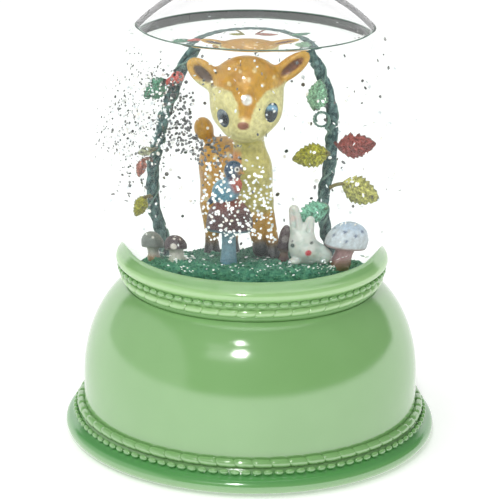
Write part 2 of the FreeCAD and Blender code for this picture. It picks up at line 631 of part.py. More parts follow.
def lead_routes():
    """Routes from the cells to the switch, from the switch to the board, and from the board back."""
    tail_z = TAIL_TOP - 1.5
    right = WELL_X
    left = -WELL_X
    first = cell_rows()[0][0]
    last = cell_rows()[-1][0]
    pin = TERMINAL_PITCH
    feed = [(right, first, tail_z), (right + 4, first, tail_z), (right + 8, first + 6, tail_z + 1),
            (right + 7, first + 18, tail_z + 2), (right - 2, first + 30, tail_z + 3),
            (right - 12, SWITCH_Y - 3, tail_z + 3.5), (pin + 2.5, SWITCH_Y - 0.5, TERMINAL_TOP + 5.5),
            (pin, SWITCH_Y, TERMINAL_TOP + 4), (pin, SWITCH_Y, TERMINAL_TOP)]
    switched = [(0, SWITCH_Y, TERMINAL_TOP), (0, SWITCH_Y, TERMINAL_TOP + 4),
                (-3, SWITCH_Y - 2, TERMINAL_TOP + 9), (-8, SWITCH_Y - 5, TERMINAL_TOP + 13),
                (-12, SWITCH_Y - 9, BOARD_Z - 6), (-12, SWITCH_Y - 10, BOARD_Z - 3), (-12, SWITCH_Y - 10, BOARD_Z)]
    back = [(left, last, tail_z), (left - 4, last, tail_z), (left - 7, last + 1.5, tail_z + 4),
            (left - 5, last + 3, tail_z + 9), (left + 1, last + 3, BOARD_Z - 5.5),
            (left + 5, last + 3.5, BOARD_Z - 3), (left + 5, last + 3.5, BOARD_Z)]
    return {"lead_feed": feed, "lead_switched": switched, "lead_return": back}


# ---- scenery ----
def make_ground():
    """The mossy mound on its round foot."""
    edge = (GROUND_RADIUS, GROUND_Z - GROUND_EDGE)
    shoulder_point = (GROUND_SHOULDER, GROUND_Z - GROUND_CROWN)
    bulge = (GROUND_RADIUS - GROUND_SLOPE * 0.3, GROUND_Z - GROUND_EDGE * 0.38)
    rim = rod(GROUND_RADIUS, STOPPER_TOP, GROUND_Z - GROUND_CROWN)
    dome_radius = (GROUND_SHOULDER ** 2 + GROUND_CROWN ** 2) / (2 * GROUND_CROWN)
    dome = Part.makeSphere(dome_radius, point(0, 0, GROUND_Z - dome_radius))
    body = lathe(outline((0, STOPPER_TOP), (GROUND_RADIUS, STOPPER_TOP), edge, (bulge, shoulder_point),
                         (GROUND_SHOULDER, GROUND_Z + GROUND_CROWN), (0, GROUND_Z + GROUND_CROWN)))
    return body.common(dome.fuse(rim)).removeSplitter()


def on_ground(x, y, rise):
    """A point in the scenery, by its height over the mound's top."""
    return point(x, y, GROUND_Z + rise)


def make_fawn():
    """The fawn: it stands with its chest forward and its head turned to the front."""
    pieces = [
        capsule(on_ground(1.2, -3.5, 18.5), on_ground(-6.0, 8.0, 20.0), 5.0, 5.4),
        capsule(on_ground(0.8, -4.0, 17.5), on_ground(-1.4, -6.0, 33.0), 4.2, 3.6),
        Part.makeSphere(8.4, on_ground(-1.9, -6.5, 39.6)),
        capsule(on_ground(-2.0, -9.0, 36.0), on_ground(-2.4, -13.0, 33.2), 5.0, 2.6),
        capsule(on_ground(4.0, -4.0, 42.5), on_ground(11.6, -3.0, 47.4), 2.7, 1.2),
        capsule(on_ground(-8.0, -4.0, 42.0), on_ground(-14.0, -3.0, 45.6), 2.7, 1.2),
        capsule(on_ground(-9.4, 11.0, 22.5), on_ground(-10.8, 12.5, 27.0), 2.4, 1.6)]
    for x, y in ((0.9, -5.5), (4.4, -4.0), (-8.6, 6.5), (-5.2, 10.5)):
        pieces.append(Part.makeCone(1.5, 2.6, 16.0, on_ground(x, y, 2.0)))
        pieces.append(Part.makeCone(2.0, 1.6, 3.6, on_ground(x, y, -0.8)))
    return pieces[0].fuse(pieces[1:]).removeSplitter()


def make_bird():
    """The small bird on the red mushroom."""
    body = capsule(on_ground(-6.4, -16.6, 17.9), on_ground(-4.9, -17.4, 22.6), 3.0, 2.2)
    tail = capsule(on_ground(-7.2, -15.6, 17.0), on_ground(-8.8, -12.5, 14.8), 1.4, 0.9)
    beak = Part.makeCone(0.8, 0.2, 1.8, on_ground(-4.6, -19.3, 23.2), point(0.2, -1, -0.1))
    return body.fuse([tail, beak]).removeSplitter()


def make_rabbit():
    """The white rabbit, sitting upright."""
    pieces = [
        capsule(on_ground(13.0, -14.2, 1.8), on_ground(12.6, -14.6, 5.6), 3.6, 3.1),
        capsule(on_ground(12.2, -15.2, 6.0), on_ground(14.0, -16.6, 4.4), 2.9, 2.0),
        capsule(on_ground(16.6, -13.6, 1.4), on_ground(17.6, -13.4, 0.6), 2.4, 1.9),
        capsule(on_ground(10.3, -14.4, 8.0), on_ground(10.2, -14.2, 13.2), 1.5, 1.1),
        capsule(on_ground(13.8, -14.4, 7.6), on_ground(14.0, -14.2, 10.8), 1.2, 0.9)]
    return pieces[0].fuse(pieces[1:]).removeSplitter()


def make_mushroom(spot, stem_radius, stem_height, cap_radius, cap_height, lean, lean_way):
    """A mushroom: a stem that flares to its foot under a rounded cap, leaning by an angle."""
    under = stem_height - cap_height * 0.2
    brim = stem_height + cap_height * 0.12
    foot = 2.0
    places = [(0, brim + cap_height), (0, -foot), (stem_radius * 1.25, -foot), (stem_radius, stem_height * 0.5),
              (stem_radius, under + cap_height * 0.12), (cap_radius * 0.9, under), (cap_radius, brim)]
    edges = [Part.makeLine(flat(a), flat(b)) for a, b in zip(places, places[1:])]
    shape = lathe(edges + [quarter_ellipse(0, brim, cap_radius, cap_height)])
    shape.rotate(ORIGIN, point(*lean_way), lean)
    shape.translate(on_ground(*spot))
    return shape


def near_edge(inset, angle, rise):
    """A spot on the mound, by its distance in from the edge, its compass angle and its height."""
    reach = GROUND_RADIUS - inset
    turn = math.radians(angle)
    return (reach * math.cos(turn), reach * math.sin(turn), rise)


def vine_points():
    """The arch: out of the mound on the left, up, over and down on the right."""
    height = WATER_Z - ARCH_COVER - GROUND_Z
    shape = [(-0.88, -0.07, 0.0), (-0.97, 0.07, 0.0), (-1.08, 0.2, 0.0), (-1.1, 0.34, 0.0),
             (-1.04, 0.49, 0.0), (-0.93, 0.65, 0.4), (-0.73, 0.83, 1.2), (-0.4, 0.96, 2.2),
             (0.02, 1.0, 3.0), (0.37, 0.95, 2.4), (0.64, 0.83, 1.2), (0.8, 0.7, 0.4), (0.87, 0.56, 0.0),
             (0.84, 0.38, 0.0), (0.76, 0.19, -0.4), (0.82, 0.06, -0.6), (0.84, -0.07, -0.6)]
    return [on_ground(ARCH_HALF_WIDTH * x, ARCH_DEPTH + y, height * z) for x, z, y in shape]


def make_vine():
    """The arch as a plain round bar along its route."""
    return tube_along(vine_points(), VINE_ROUND)


def on_arch(x, y, share):
    """A place beside the arch, by its share of the arch's height."""
    return on_ground(x, y, (WATER_Z - ARCH_COVER - GROUND_Z) * share)


def leaf(centre, length, width, turn, yaw):
    """A pointed leaf: two arcs, a thin plate, turned in its own plane and then about the upright."""
    half = length / 2
    left = point(-half, 0, 0)
    right = point(half, 0, 0)
    over = Part.Arc(left, point(0, 0, width / 2), right).toShape()
    under = Part.Arc(right, point(0, 0, -width / 2), left).toShape()
    blade = Part.Face(Part.Wire([over, under])).extrude(point(0, LEAF_THICK, 0))
    blade.translate(point(0, -LEAF_THICK / 2, 0))
    blade.rotate(ORIGIN, point(0, 1, 0), turn)
    blade.rotate(ORIGIN, UP, yaw)
    blade.translate(centre)
    return blade


def leaf_on_stem(centre, length, width, turn, yaw, joint):
    """A leaf with the wire stem that ties it to the vine."""
    way = joint - centre
    stem = Part.makeCylinder(STEM_ROUND, way.Length, centre, way)
    return leaf(centre, length, width, turn, yaw).fuse(stem).removeSplitter()


def make_leaves():
    """Every leaf of the arch, each named for its place and colour."""
    leaves = {}
    leaves["leaf_green_left"] = leaf_on_stem(on_arch(-22.4, 4.0, 0.685), 6.4, 5.0, 35, 10, on_arch(-18.6, 5, 0.66))
    leaves["leaf_pink_left"] = leaf_on_stem(on_arch(-25.4, 0.5, 0.36), 4.0, 2.2, 75, 15, on_arch(-22.0, 5, 0.37))
    leaves["leaf_pale_left"] = leaf_on_stem(on_arch(-24.4, 2.0, 0.425), 3.4, 1.8, 15, -10, on_arch(-21.6, 5, 0.41))
    leaves["leaf_olive_left"] = leaf_on_stem(on_arch(-25.2, 0.5, 0.195), 4.8, 3.2, 60, 20, on_arch(-21.6, 5, 0.215))
    leaves["leaf_green_right"] = leaf_on_stem(on_arch(14.4, 2.4, 0.68), 7.6, 4.8, 80, -10, on_arch(16.6, 5, 0.66))
    leaves["leaf_olive_right"] = leaf_on_stem(on_arch(12.8, 0.0, 0.425), 8.2, 5.4, 10, 8, on_arch(16.8, 5, 0.40))
    leaves["leaf_russet_right"] = leaf_on_stem(on_arch(23.3, 2.0, 0.465), 9.2, 5.6, 8, -12, on_arch(17.2, 5, 0.46))
    leaves["leaf_yellow_right"] = leaf_on_stem(on_arch(24.4, 0.0, 0.275), 9.4, 6.2, -22, -10, on_arch(16.0, 5, 0.26))
    leaves["leaf_teal_low"] = leaf_on_stem(on_arch(13.6, -6.0, 0.2), 8.0, 5.0, 18, 12, on_arch(15.4, 4.6, 0.2))
    leaves["leaf_top_left"] = leaf_on_stem(on_arch(-5.6, 2.0, 0.93), 5.0, 2.8, -20, 20, on_arch(-6.0, 7, 0.97))
    leaves["leaf_top_mid"] = leaf_on_stem(on_arch(3.4, 3.0, 0.92), 7.0, 3.4, 10, -15, on_arch(3.4, 8, 0.98))
    leaves["leaf_top_right"] = leaf_on_stem(on_arch(13.6, 4.0, 0.92), 6.5, 3.6, 30, 10, on_arch(11.0, 6, 0.88))
    return leaves


def make_berry():
    """The red berry where the arch turns over on the left."""
    joint = on_arch(-17.0, 5.6, 0.745)
    centre = on_arch(-17.6, 3.2, 0.745)
    return capsule(centre, centre + point(-1.6, 0, -1.2), 1.5, 1.1).fuse(
        Part.makeCylinder(STEM_ROUND, (joint - centre).Length, centre, joint - centre)).removeSplitter()


def make_tendril():
    """A curled wire that hangs in front of the arch on the right."""
    middle = on_arch(15.2, 2.4, 0.57)
    curl = Part.makeTorus(1.9, 0.3, middle, point(0, 1, 0.1))
    return curl.fuse(Part.makeCylinder(0.3, 2.6, middle + point(1.6, 0.1, 1.0), point(0.3, 1, 0.2)))


def make_flakes():
    """Hexagonal glitter hanging in the liquid, a sample of the thousands that a real globe holds."""
    golden = math.pi * (3 - math.sqrt(5))
    low = GROUND_Z + GROUND_EDGE
    high = WATER_Z - GROUND_EDGE
    flakes = []
    for k in range(FLAKES):
        z = low + (high - low) * (k + 0.5) / FLAKES
        shell = INSIDE_RADIUS - FLAKE_CLEAR - 1.5 * (k % 3)
        reach = math.sqrt(shell ** 2 - (z - GLOBE_Z) ** 2)
        turn = golden * k
        corners = [point(FLAKE_ACROSS / 2 * math.cos(a), FLAKE_ACROSS / 2 * math.sin(a), 0)
                   for a in [math.pi / 3 * side for side in range(7)]]
        flake = Part.Face(Part.makePolygon(corners)).extrude(point(0, 0, FLAKE_THICK))
        flake.rotate(ORIGIN, point(1, 0, 0), 37 * k % 180)
        flake.rotate(ORIGIN, UP, 61 * k % 180)
        flake.translate(point(reach * math.cos(turn), reach * math.sin(turn), z))
        flakes.append(flake)
    return group(flakes)


def make_scenery():
    """Everything inside the liquid, each piece cut clear of the ones before it."""
    vine = make_vine()
    pieces = {"vine_arch": vine}
    pieces["fawn"] = make_fawn().cut(vine)
    pieces["red_mushroom"] = make_mushroom((-5.7, -16.0, -1.0), 1.8, 9.6, 5.6, 6.8, 0, (0, 1, 0))
    pieces["songbird"] = make_bird()
    pieces["rabbit"] = make_rabbit()
    pieces["tall_mushroom"] = make_mushroom((7.4, -9.0, 0.2), 1.0, 2.6, 1.7, 5.0, 4, (0, 1, 0))
    pieces["blue_mushroom"] = make_mushroom(near_edge(2.16, -26.1, -2.0), 2.7, 5.2, 5.6, 7.0, 14, (0, 1, 0))
    pieces["brown_mushroom"] = make_mushroom(near_edge(5.58, -150.7, -1.0), 1.9, 3.2, 2.8, 2.9, -8, (0, 1, 0))
    pieces["grey_mushroom"] = make_mushroom(near_edge(2.85, -170.0, -1.4), 1.5, 3.2, 2.8, 3.2, -5, (0, 1, 0))
    pieces.update(make_leaves())
    pieces["berry_red"] = make_berry()
    pieces["vine_tendril"] = make_tendril()
    done = {}
    for name, shape in pieces.items():
        near = [other for other in done.values() if other.BoundBox.intersect(shape.BoundBox)]
        done[name] = shape.cut(near) if near else shape
    return done


def make_liquid(ground, scenery):
    """The liquid fills what the scenery leaves, up to its level. The flakes hang in it, uncut."""
    full = globe_inside(STOPPER_TOP, INSIDE_RADIUS)
    air = rod(GLOBE_RADIUS, WATER_Z, GLOBE_Z + 2 * GLOBE_RADIUS)
    under_stopper = rod(GLOBE_RADIUS, GLOBE_Z - 2 * GLOBE_RADIUS, STOPPER_TOP)
    return full.cut([air, under_stopper, ground] + list(scenery.values()))


def largest(shape):
    """The one solid that counts, without the crumbs of a cut."""
    return max(shape.Solids, key=lambda solid: solid.Volume)


def all_nodes():
    """Every node's shape by its name."""
    scenery = {name: largest(shape) for name, shape in make_scenery().items()}
    ground = largest(make_ground().cut(list(scenery.values())))
    nodes = {
        "base_housing": make_housing(),
        "collar_ring": make_collar(),
        "base_plate": make_base_plate(),
        "plate_screws": make_plate_screws(),
        "rubber_feet": make_feet(),
        "battery_door": make_door(),
        "door_screw": make_door_screw(),
        "contact_springs": make_springs(),
        "contact_plates": make_contacts(),
        "switch_case": make_switch_case(),
        "switch_knob": make_switch_knob(),
        "led_board": make_board(),
        "board_screws": make_board_screws(),
        "leds": make_leds(),
        "board_parts": make_board_parts(),
        "globe_glass": make_glass(),
        "neck_stopper": make_stopper(),
        "neck_bond": make_bond(),
        "ground_mound": ground,
        "glitter_flakes": make_flakes()}
    for number, (y, way) in enumerate(cell_rows(), start=1):
        nodes["cell_%d" % number] = make_cell(y, way)
    for name, route in lead_routes().items():
        nodes[name] = make_lead(route)
    nodes.update(scenery)
    nodes["liquid_fill"] = largest(make_liquid(ground, scenery))
    return nodes


os.makedirs("parts", exist_ok=True)
for node, shape in all_nodes().items():
    shape.exportStep("parts/%s.step" % node)
    print("%-18s solids %2d  volume %10.1f  valid %s" % (node, len(shape.Solids), shape.Volume, shape.isValid()))
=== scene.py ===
"""The looks of a snow globe night light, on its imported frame. Sizes are in mm, and meshes in metres."""
import logging
import math
from dataclasses import dataclass, field
from enum import Enum
from typing import Callable, Sequence

import bpy
import numpy as np
from mathutils import Euler, Matrix, Vector


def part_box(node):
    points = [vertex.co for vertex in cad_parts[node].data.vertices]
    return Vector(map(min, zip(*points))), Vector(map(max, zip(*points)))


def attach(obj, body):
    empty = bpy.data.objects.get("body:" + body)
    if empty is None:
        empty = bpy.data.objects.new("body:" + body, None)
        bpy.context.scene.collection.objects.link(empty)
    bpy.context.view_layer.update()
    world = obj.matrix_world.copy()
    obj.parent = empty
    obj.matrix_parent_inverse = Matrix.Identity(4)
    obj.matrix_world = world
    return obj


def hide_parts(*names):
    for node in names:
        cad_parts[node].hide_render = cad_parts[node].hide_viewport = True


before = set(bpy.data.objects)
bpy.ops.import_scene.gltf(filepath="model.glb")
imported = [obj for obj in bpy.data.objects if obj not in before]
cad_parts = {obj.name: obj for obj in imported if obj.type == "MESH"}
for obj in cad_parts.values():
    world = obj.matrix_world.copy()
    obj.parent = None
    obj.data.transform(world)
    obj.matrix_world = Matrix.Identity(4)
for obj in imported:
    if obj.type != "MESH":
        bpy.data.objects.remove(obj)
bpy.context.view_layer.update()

LOG = logging.getLogger("snow_globe")
MM = 0.001
Point = tuple[float, float, float]
Colour = tuple[float, float, float]
Outline = list[tuple[float, float]]
Mesh = tuple[np.ndarray, list[list[int]]]
Piece = bpy.types.Object
Finish = bpy.types.Material
Socket = bpy.types.NodeSocket
BALL_RADIUS = 50.0
POLE = 1e-6
BLACK = (0.0, 0.0, 0.0)
FULL = (1.0, 1.0, 1.0)


# --- the frame's heights
def top_of(node: str) -> float:
    """The height of a CAD part's top in mm."""
    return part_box(node)[1][2] / MM


def foot_of(node: str) -> float:
    """The height of a CAD part's underside in mm."""
    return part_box(node)[0][2] / MM


# --- measures and colours
def screen(red: float, green: float, blue: float) -> Colour:
    """Turns a 0 to 255 screen colour into the linear colour that shaders mix.

    Args:
        red: Red on the screen.
        green: Green on the screen.
        blue: Blue on the screen.

    Returns:
        The linear colour.
    """
    def one(value: float) -> float:
        """One channel."""
        share = value / 255.0
        return share / 12.92 if share <= 0.04045 else ((share + 0.055) / 1.055) ** 2.4
    return (one(red), one(green), one(blue))


def edge_of(low: float, high: float, value: np.ndarray) -> np.ndarray:
    """A soft step.

    Args:
        low: Where the step starts.
        high: Where the step ends.
        value: Where it is asked.

    Returns:
        0 before the step, 1 after it.
    """
    share = np.clip((value - low) / (high - low), 0.0, 1.0)
    return share * share * (3 - 2 * share)


def ripple(points: np.ndarray, size: float, seed: int) -> np.ndarray:
    """Smooth unevenness over a surface.

    Args:
        points: Places in mm, one row each.
        size: How far apart the lumps are, in mm.
        seed: Which pattern.

    Returns:
        A value from about -1 to 1 for each place.
    """
    rng = np.random.default_rng(seed)
    ways = rng.normal(size=(14, 3))
    ways *= (rng.uniform(0.6, 1.7, 14) / size / np.linalg.norm(ways, axis=1))[:, None]
    waves = np.sin(2 * np.pi * points @ ways.T + rng.uniform(0, 2 * np.pi, 14))
    return waves.sum(axis=1) / math.sqrt(14) * 0.8


def mixed(under: np.ndarray, over: Colour, share: np.ndarray) -> np.ndarray:
    """Paints one colour over others.

    Args:
        under: The colours below, one row each.
        over: The colour on top.
        share: How much of it shows at each place.

    Returns:
        The new colours.
    """
    part = np.clip(share, 0, 1)[:, None]
    return under * (1 - part) + np.array(over)[None, :] * part


# --- meshes
def placed(name: str, data: bpy.types.ID) -> Piece:
    """Puts a mesh, a curve, a lamp or a camera in the scene, at the origin."""
    thing = bpy.data.objects.new(name, data)
    bpy.context.scene.collection.objects.link(thing)
    return thing


def solid(name: str, points: np.ndarray, faces: Sequence[Sequence[int]], colours: np.ndarray | None = None,
          smooth: bool = True) -> Piece:
    """Makes an object from places in mm.

    Args:
        name: The piece's name.
        points: Its places in mm.
        faces: Its faces.
        colours: A linear colour for each place, kept as the "paint" attribute.
        smooth: Whether its faces are shaded smooth.

    Returns:
        The new object.
    """
    mesh = bpy.data.meshes.new(name)
    mesh.from_pydata((np.asarray(points) * MM).tolist(), [], [list(map(int, face)) for face in faces])
    if smooth:
        mesh.shade_smooth()
    if colours is not None:
        paint = mesh.attributes.new("paint", "FLOAT_COLOR", "POINT")
        full = np.concatenate([colours, np.ones((len(colours), 1))], axis=1)
        paint.data.foreach_set("color", full.astype(np.float32).ravel())
    mesh.validate()
    return placed(name, mesh)


def turned(outline: Outline, steps: int) -> Mesh:
    """Turns an outline about the upright axis, with a single place where it meets that axis.

    Args:
        outline: Radius and height pairs in mm, listed so that the solid is on the left of the way along it.
        steps: How many steps make a full turn.

    Returns:
        Places and faces that point outwards.
    """
    points: list[Point] = []
    rings: list[list[int]] = []
    for radius, height in outline:
        if radius < POLE:
            points.append((0.0, 0.0, height))
            rings.append([len(points) - 1] * steps)
            continue
        first = len(points)
        for k in range(steps):
            angle = 2 * math.pi * k / steps
            points.append((radius * math.cos(angle), radius * math.sin(angle), height))
        rings.append(list(range(first, first + steps)))
    faces = []
    for low, high in zip(rings, rings[1:]):
        for k in range(steps):
            after = (k + 1) % steps
            corners = [low[k], low[after], high[after], high[k]]
            face = [c for n, c in enumerate(corners) if c != corners[n - 1]]
            if len(face) > 2:
                faces.append(face)
    return np.array(points), faces


def closed_turned(outline: Outline, steps: int) -> Mesh:
    """Turns an outline that ends where it began, such as a ring's section.

    Args:
        outline: Radius and height pairs in mm, the last one next to the first.
        steps: How many steps make a full turn.

    Returns:
        Places and faces that point outwards.
    """
    points, faces = turned(outline + [outline[0]], steps)
    keep = len(points) - steps
    return points[:keep], [[c - keep if c >= keep else c for c in face] for face in faces]


def rounded(middle: tuple[float, float], radius: float, start: float, end: float, count: int) -> Outline:
    """Part of a circle in an outline.

    Args:
        middle: Its centre as radius and height.
        radius: Its radius.
        start: First angle in degrees.
        end: Last angle in degrees.
        count: How many places it gives.

    Returns:
        Radius and height pairs.
    """
    angles = np.radians(np.linspace(start, end, count))
    return [(middle[0] + radius * math.cos(a), middle[1] + radius * math.sin(a)) for a in angles]


def moved(points: np.ndarray, place: Point, lean: float) -> np.ndarray:
    """Leans places about the y axis and moves them.

    Args:
        points: Places in mm.
        place: Where the origin goes.
        lean: The turn in degrees.

    Returns:
        The new places.
    """
    turn = np.array(Matrix.Rotation(math.radians(lean), 3, "Y"))
    return points @ turn.T + np.array(place)


# --- clay: shapes that flow into each other
@dataclass(frozen=True)
class Egg:
    """A lump with three half sizes, tilted about y and then turned about z, in degrees."""

    middle: Point
    half: Point
    colour: Colour = (0.8, 0.8, 0.8)
    tilt: float = 0.0
    yaw: float = 0.0
    soft: float = 1.2

    def distance(self, places: np.ndarray) -> np.ndarray:
        """How far each place is outside the lump, negative inside."""
        turn = np.array(Euler((0.0, math.radians(-self.tilt), math.radians(self.yaw))).to_matrix())
        local = (places - np.array(self.middle)) @ turn
        half = np.array(self.half)
        first = np.linalg.norm(local / half, axis=-1)
        second = np.linalg.norm(local / half ** 2, axis=-1) + 1e-9
        return first * (first - 1) / second


@dataclass(frozen=True)
class Limb:
    """A tapered limb between two balls."""

    start: Point
    end: Point
    start_radius: float
    end_radius: float
    colour: Colour = (0.8, 0.8, 0.8)
    soft: float = 1.2

    def distance(self, places: np.ndarray) -> np.ndarray:
        """How far each place is outside the limb, negative inside."""
        start = np.array(self.start)
        way = np.array(self.end) - start
        share = np.clip((places - start) @ way / (way @ way), 0, 1)
        radius = self.start_radius + (self.end_radius - self.start_radius) * share
        return np.linalg.norm(places - start - share[..., None] * way, axis=-1) - radius


class Clay:
    """Lumps joined softly and dented by others, with a skin that can be asked for."""

    def __init__(self, lumps: Sequence[Egg | Limb], dents: Sequence[Egg | Limb] = ()) -> None:
        """Keeps the lumps.

        Args:
            lumps: What is added.
            dents: What is pressed in.
        """
        self.lumps = lumps
        self.dents = dents

    def distance(self, places: np.ndarray) -> np.ndarray:
        """How far each place is outside the clay, negative inside."""
        total = self.lumps[0].distance(places)
        for lump in self.lumps[1:]:
            other = lump.distance(places)
            near = np.maximum(lump.soft - np.abs(total - other), 0)
            total = np.minimum(total, other) - near * near / (4 * lump.soft)
        for dent in self.dents:
            other = -dent.distance(places)
            near = np.maximum(dent.soft - np.abs(total - other), 0)
            total = np.maximum(total, other) + near * near / (4 * dent.soft)
        return total

    def skin(self, low: Point, high: Point, step: float) -> Mesh:
        """The surface inside a box, found on a grid.

        Args:
            low: The box's low corner.
            high: Its high corner.
            step: The grid's spacing in mm.

        Returns:
            Places and four-sided faces that point outwards.
        """
        sides = [np.arange(a, b + step, step) for a, b in zip(low, high)]
        grid = np.stack(np.meshgrid(*sides, indexing="ij"), axis=-1)
        shape = grid.shape[:3]
        value = self.distance(grid.reshape(-1, 3)).reshape(shape)
        inside = value < 0
        count = np.zeros([n - 1 for n in shape], dtype=int)
        for corner in np.ndindex(2, 2, 2):
            count += inside[tuple(slice(c, n - 1 + c) for c, n in zip(corner, shape))]
        crossed = (count > 0) & (count < 8)
        index = np.full(crossed.shape, -1)
        index[crossed] = np.arange(crossed.sum())
        cells = np.argwhere(crossed)
        total = np.zeros((len(cells), 3))
        hits = np.zeros(len(cells))
        for axis in range(3):
            unit = np.eye(3, dtype=int)[axis]
            for a, b in ((0, 0), (0, 1), (1, 0), (1, 1)):
                offset = np.insert(np.array([a, b]), axis, 0)
                one = value[tuple((cells + offset).T)]
                two = value[tuple((cells + offset + unit).T)]
                hit = (one < 0) != (two < 0)
                share = np.where(hit, one / np.where(hit, one - two, 1), 0)
                total += np.where(hit[:, None], offset + share[:, None] * unit, 0)
                hits += hit
        points = np.array(low) + step * (cells + total / hits[:, None])
        faces: list[list[int]] = []
        for axis in range(3):
            unit, up, over = (np.eye(3, dtype=int)[(axis + k) % 3] for k in range(3))
            start = np.argwhere(np.diff(inside.astype(int), axis=axis) != 0)
            start = start[(start[:, (axis + 1) % 3] > 0) & (start[:, (axis + 2) % 3] > 0)]
            start = start[(start @ up < shape[(axis + 1) % 3] - 1)
                          & (start @ over < shape[(axis + 2) % 3] - 1)]
            quads = np.stack([index[tuple((start - c).T)] for c in (0 * up, up, up + over, over)], axis=1)
            outward = inside[tuple(start.T)]
            quads[~outward] = quads[~outward][:, ::-1]
            faces += quads.tolist()
        return points, faces

    def colours(self, points: np.ndarray, blend: float = 0.35) -> np.ndarray:
        """Each place's colour, from the lumps that it is nearest to.

        Args:
            points: Places in mm.
            blend: How softly two colours meet, in mm.

        Returns:
            Linear colours.
        """
        away = np.stack([lump.distance(points) for lump in self.lumps], axis=1)
        weight = np.exp(-(away - away.min(axis=1, keepdims=True)) / blend)
        weight /= weight.sum(axis=1, keepdims=True)
        return weight @ np.array([lump.colour for lump in self.lumps])

    def front(self, x: float, z: float, start: float = -45.0) -> float:
        """Where a line from the front first meets the clay.

        Args:
            x: The line's x in mm.
            z: Its height in mm.
            start: Where it starts.

        Returns:
            The y where it meets the clay.
        """
        depths = np.arange(start, 30.0, 0.05)
        line = np.stack([np.full_like(depths, x), depths, np.full_like(depths, z)], axis=1)
        inside = np.flatnonzero(self.distance(line) < 0)
        return float(depths[inside[0]]) if len(inside) else 0.0


# --- finishes
class Wiring:
    """Nodes that are put together in a tree."""

    def __init__(self, tree: bpy.types.NodeTree) -> None:
        """Keeps the tree.

        Args:
            tree: Where the nodes go.
        """
        self.tree = tree

    def join(self, value: object, socket: Socket) -> None:
        """Links a socket to an input, or sets its value there."""
        if isinstance(value, Socket):
            self.tree.links.new(value, socket)
        elif isinstance(value, tuple) and socket.type == "RGBA" and len(value) == 3:
            socket.default_value = (*value, 1.0)
        else:
            socket.default_value = value

    def node(self, kind: str, inputs: dict | None = None, **settings: object) -> bpy.types.Node:
        """Adds a node.

        Args:
            kind: The node's type.
            inputs: Values or sockets for its inputs.
            settings: Its other settings.

        Returns:
            The node.
        """
        node = self.tree.nodes.new(kind)
        for key, value in settings.items():
            setattr(node, key, value)
        for key, value in (inputs or {}).items():
            self.join(value, node.inputs[key])
        return node

    def sum(self, kind: str, one: object, two: object = 0.0) -> Socket:
        """One step of arithmetic."""
        return self.node("ShaderNodeMath", {0: one, 1: two}, operation=kind).outputs[0]

    def clamped(self, value: object) -> Socket:
        """A value kept between 0 and 1."""
        return self.sum("MINIMUM", self.sum("MAXIMUM", value, 0.0), 1.0)


class Recipe(Wiring):
    """A material's nodes as they are put together."""

    def __init__(self, name: str) -> None:
        """Starts with one shader and one output.

        Args:
            name: The material's name.
        """
        self.material = bpy.data.materials.new(name)
        self.material.use_nodes = True
        super().__init__(self.material.node_tree)
        self.shader = self.tree.nodes["Principled BSDF"]
        self.output = self.tree.nodes["Material Output"]

    def shade(self, **values: object) -> Finish:
        """Sets or joins the shader's inputs, with underscores for spaces, and returns the material."""
        for key, value in values.items():
            self.join(value, self.shader.inputs[key.replace("_", " ")])
        return self.material

    def surface(self, shader: bpy.types.Node) -> Finish:
        """Ends the recipe with another shader, and returns the material."""
        self.tree.links.new(shader.outputs[0], self.output.inputs["Surface"])
        return self.material

    def place(self) -> Socket:
        """The piece's own places."""
        return self.node("ShaderNodeTexCoord").outputs["Object"]

    def paint(self) -> Socket:
        """The mesh's own paint."""
        return self.node("ShaderNodeVertexColor", layer_name="paint").outputs["Color"]

    def noise(self, per_metre: float, detail: float = 4.0, roughness: float = 0.55) -> Socket:
        """Noise on the piece's own places, as a factor."""
        return self.node("ShaderNodeTexNoise", {"Vector": self.place(), "Scale": per_metre, "Detail": detail,
                                                "Roughness": roughness}).outputs["Fac"]

    def ramp(self, factor: Socket, stops: Sequence[tuple[float, Colour]]) -> Socket:
        """Colours by a factor.

        Args:
            factor: What picks the colour.
            stops: Places from 0 to 1 with their colours.

        Returns:
            The colour.
        """
        ramp = self.node("ShaderNodeValToRGB", {"Fac": factor})
        bar = ramp.color_ramp
        while len(bar.elements) < len(stops):
            bar.elements.new(0.5)
        for element, (place, colour) in zip(bar.elements, stops):
            element.position = place
            element.color = (*colour, 1.0)
        return ramp.outputs["Color"]

    def mask(self, factor: Socket, low: float, high: float, share: float = 1.0) -> Socket:
        """Black below one value and white above another, thinned to a share."""
        mask = self.ramp(factor, [(low, BLACK), (high, FULL)])
        return mask if share == 1.0 else self.between(share, BLACK, mask)

    def dullness(self, marks: Socket, low: float, high: float) -> Socket:
        """Roughness that marks take from one value to another."""
        spread = self.node("ShaderNodeMapRange", {"Value": marks, "To Min": low, "To Max": high})
        return spread.outputs["Result"]

    def between(self, factor: object, one: object, two: object, blend: str = "MIX") -> Socket:
        """Mixes two colours.

        Args:
            factor: The share of the second, a number or a socket.
            one: The first colour or socket.
            two: The second colour or socket.
            blend: How they mix.

        Returns:
            The colour.
        """
        inputs = {0: factor, 6: one, 7: two}
        return self.node("ShaderNodeMix", inputs, data_type="RGBA", blend_type=blend).outputs[2]

    def relief(self, height: Socket, depth: float, strength: float = 1.0,
               under: Socket | None = None) -> Socket:
        """A bump.

        Args:
            height: What raises the surface.
            depth: By how much, in metres.
            strength: How strongly.
            under: Another bump below it.

        Returns:
            The normal.
        """
        inputs: dict[str, object] = {"Height": height, "Distance": depth, "Strength": strength}
        if under is not None:
            inputs["Normal"] = under
        return self.node("ShaderNodeBump", inputs).outputs["Normal"]


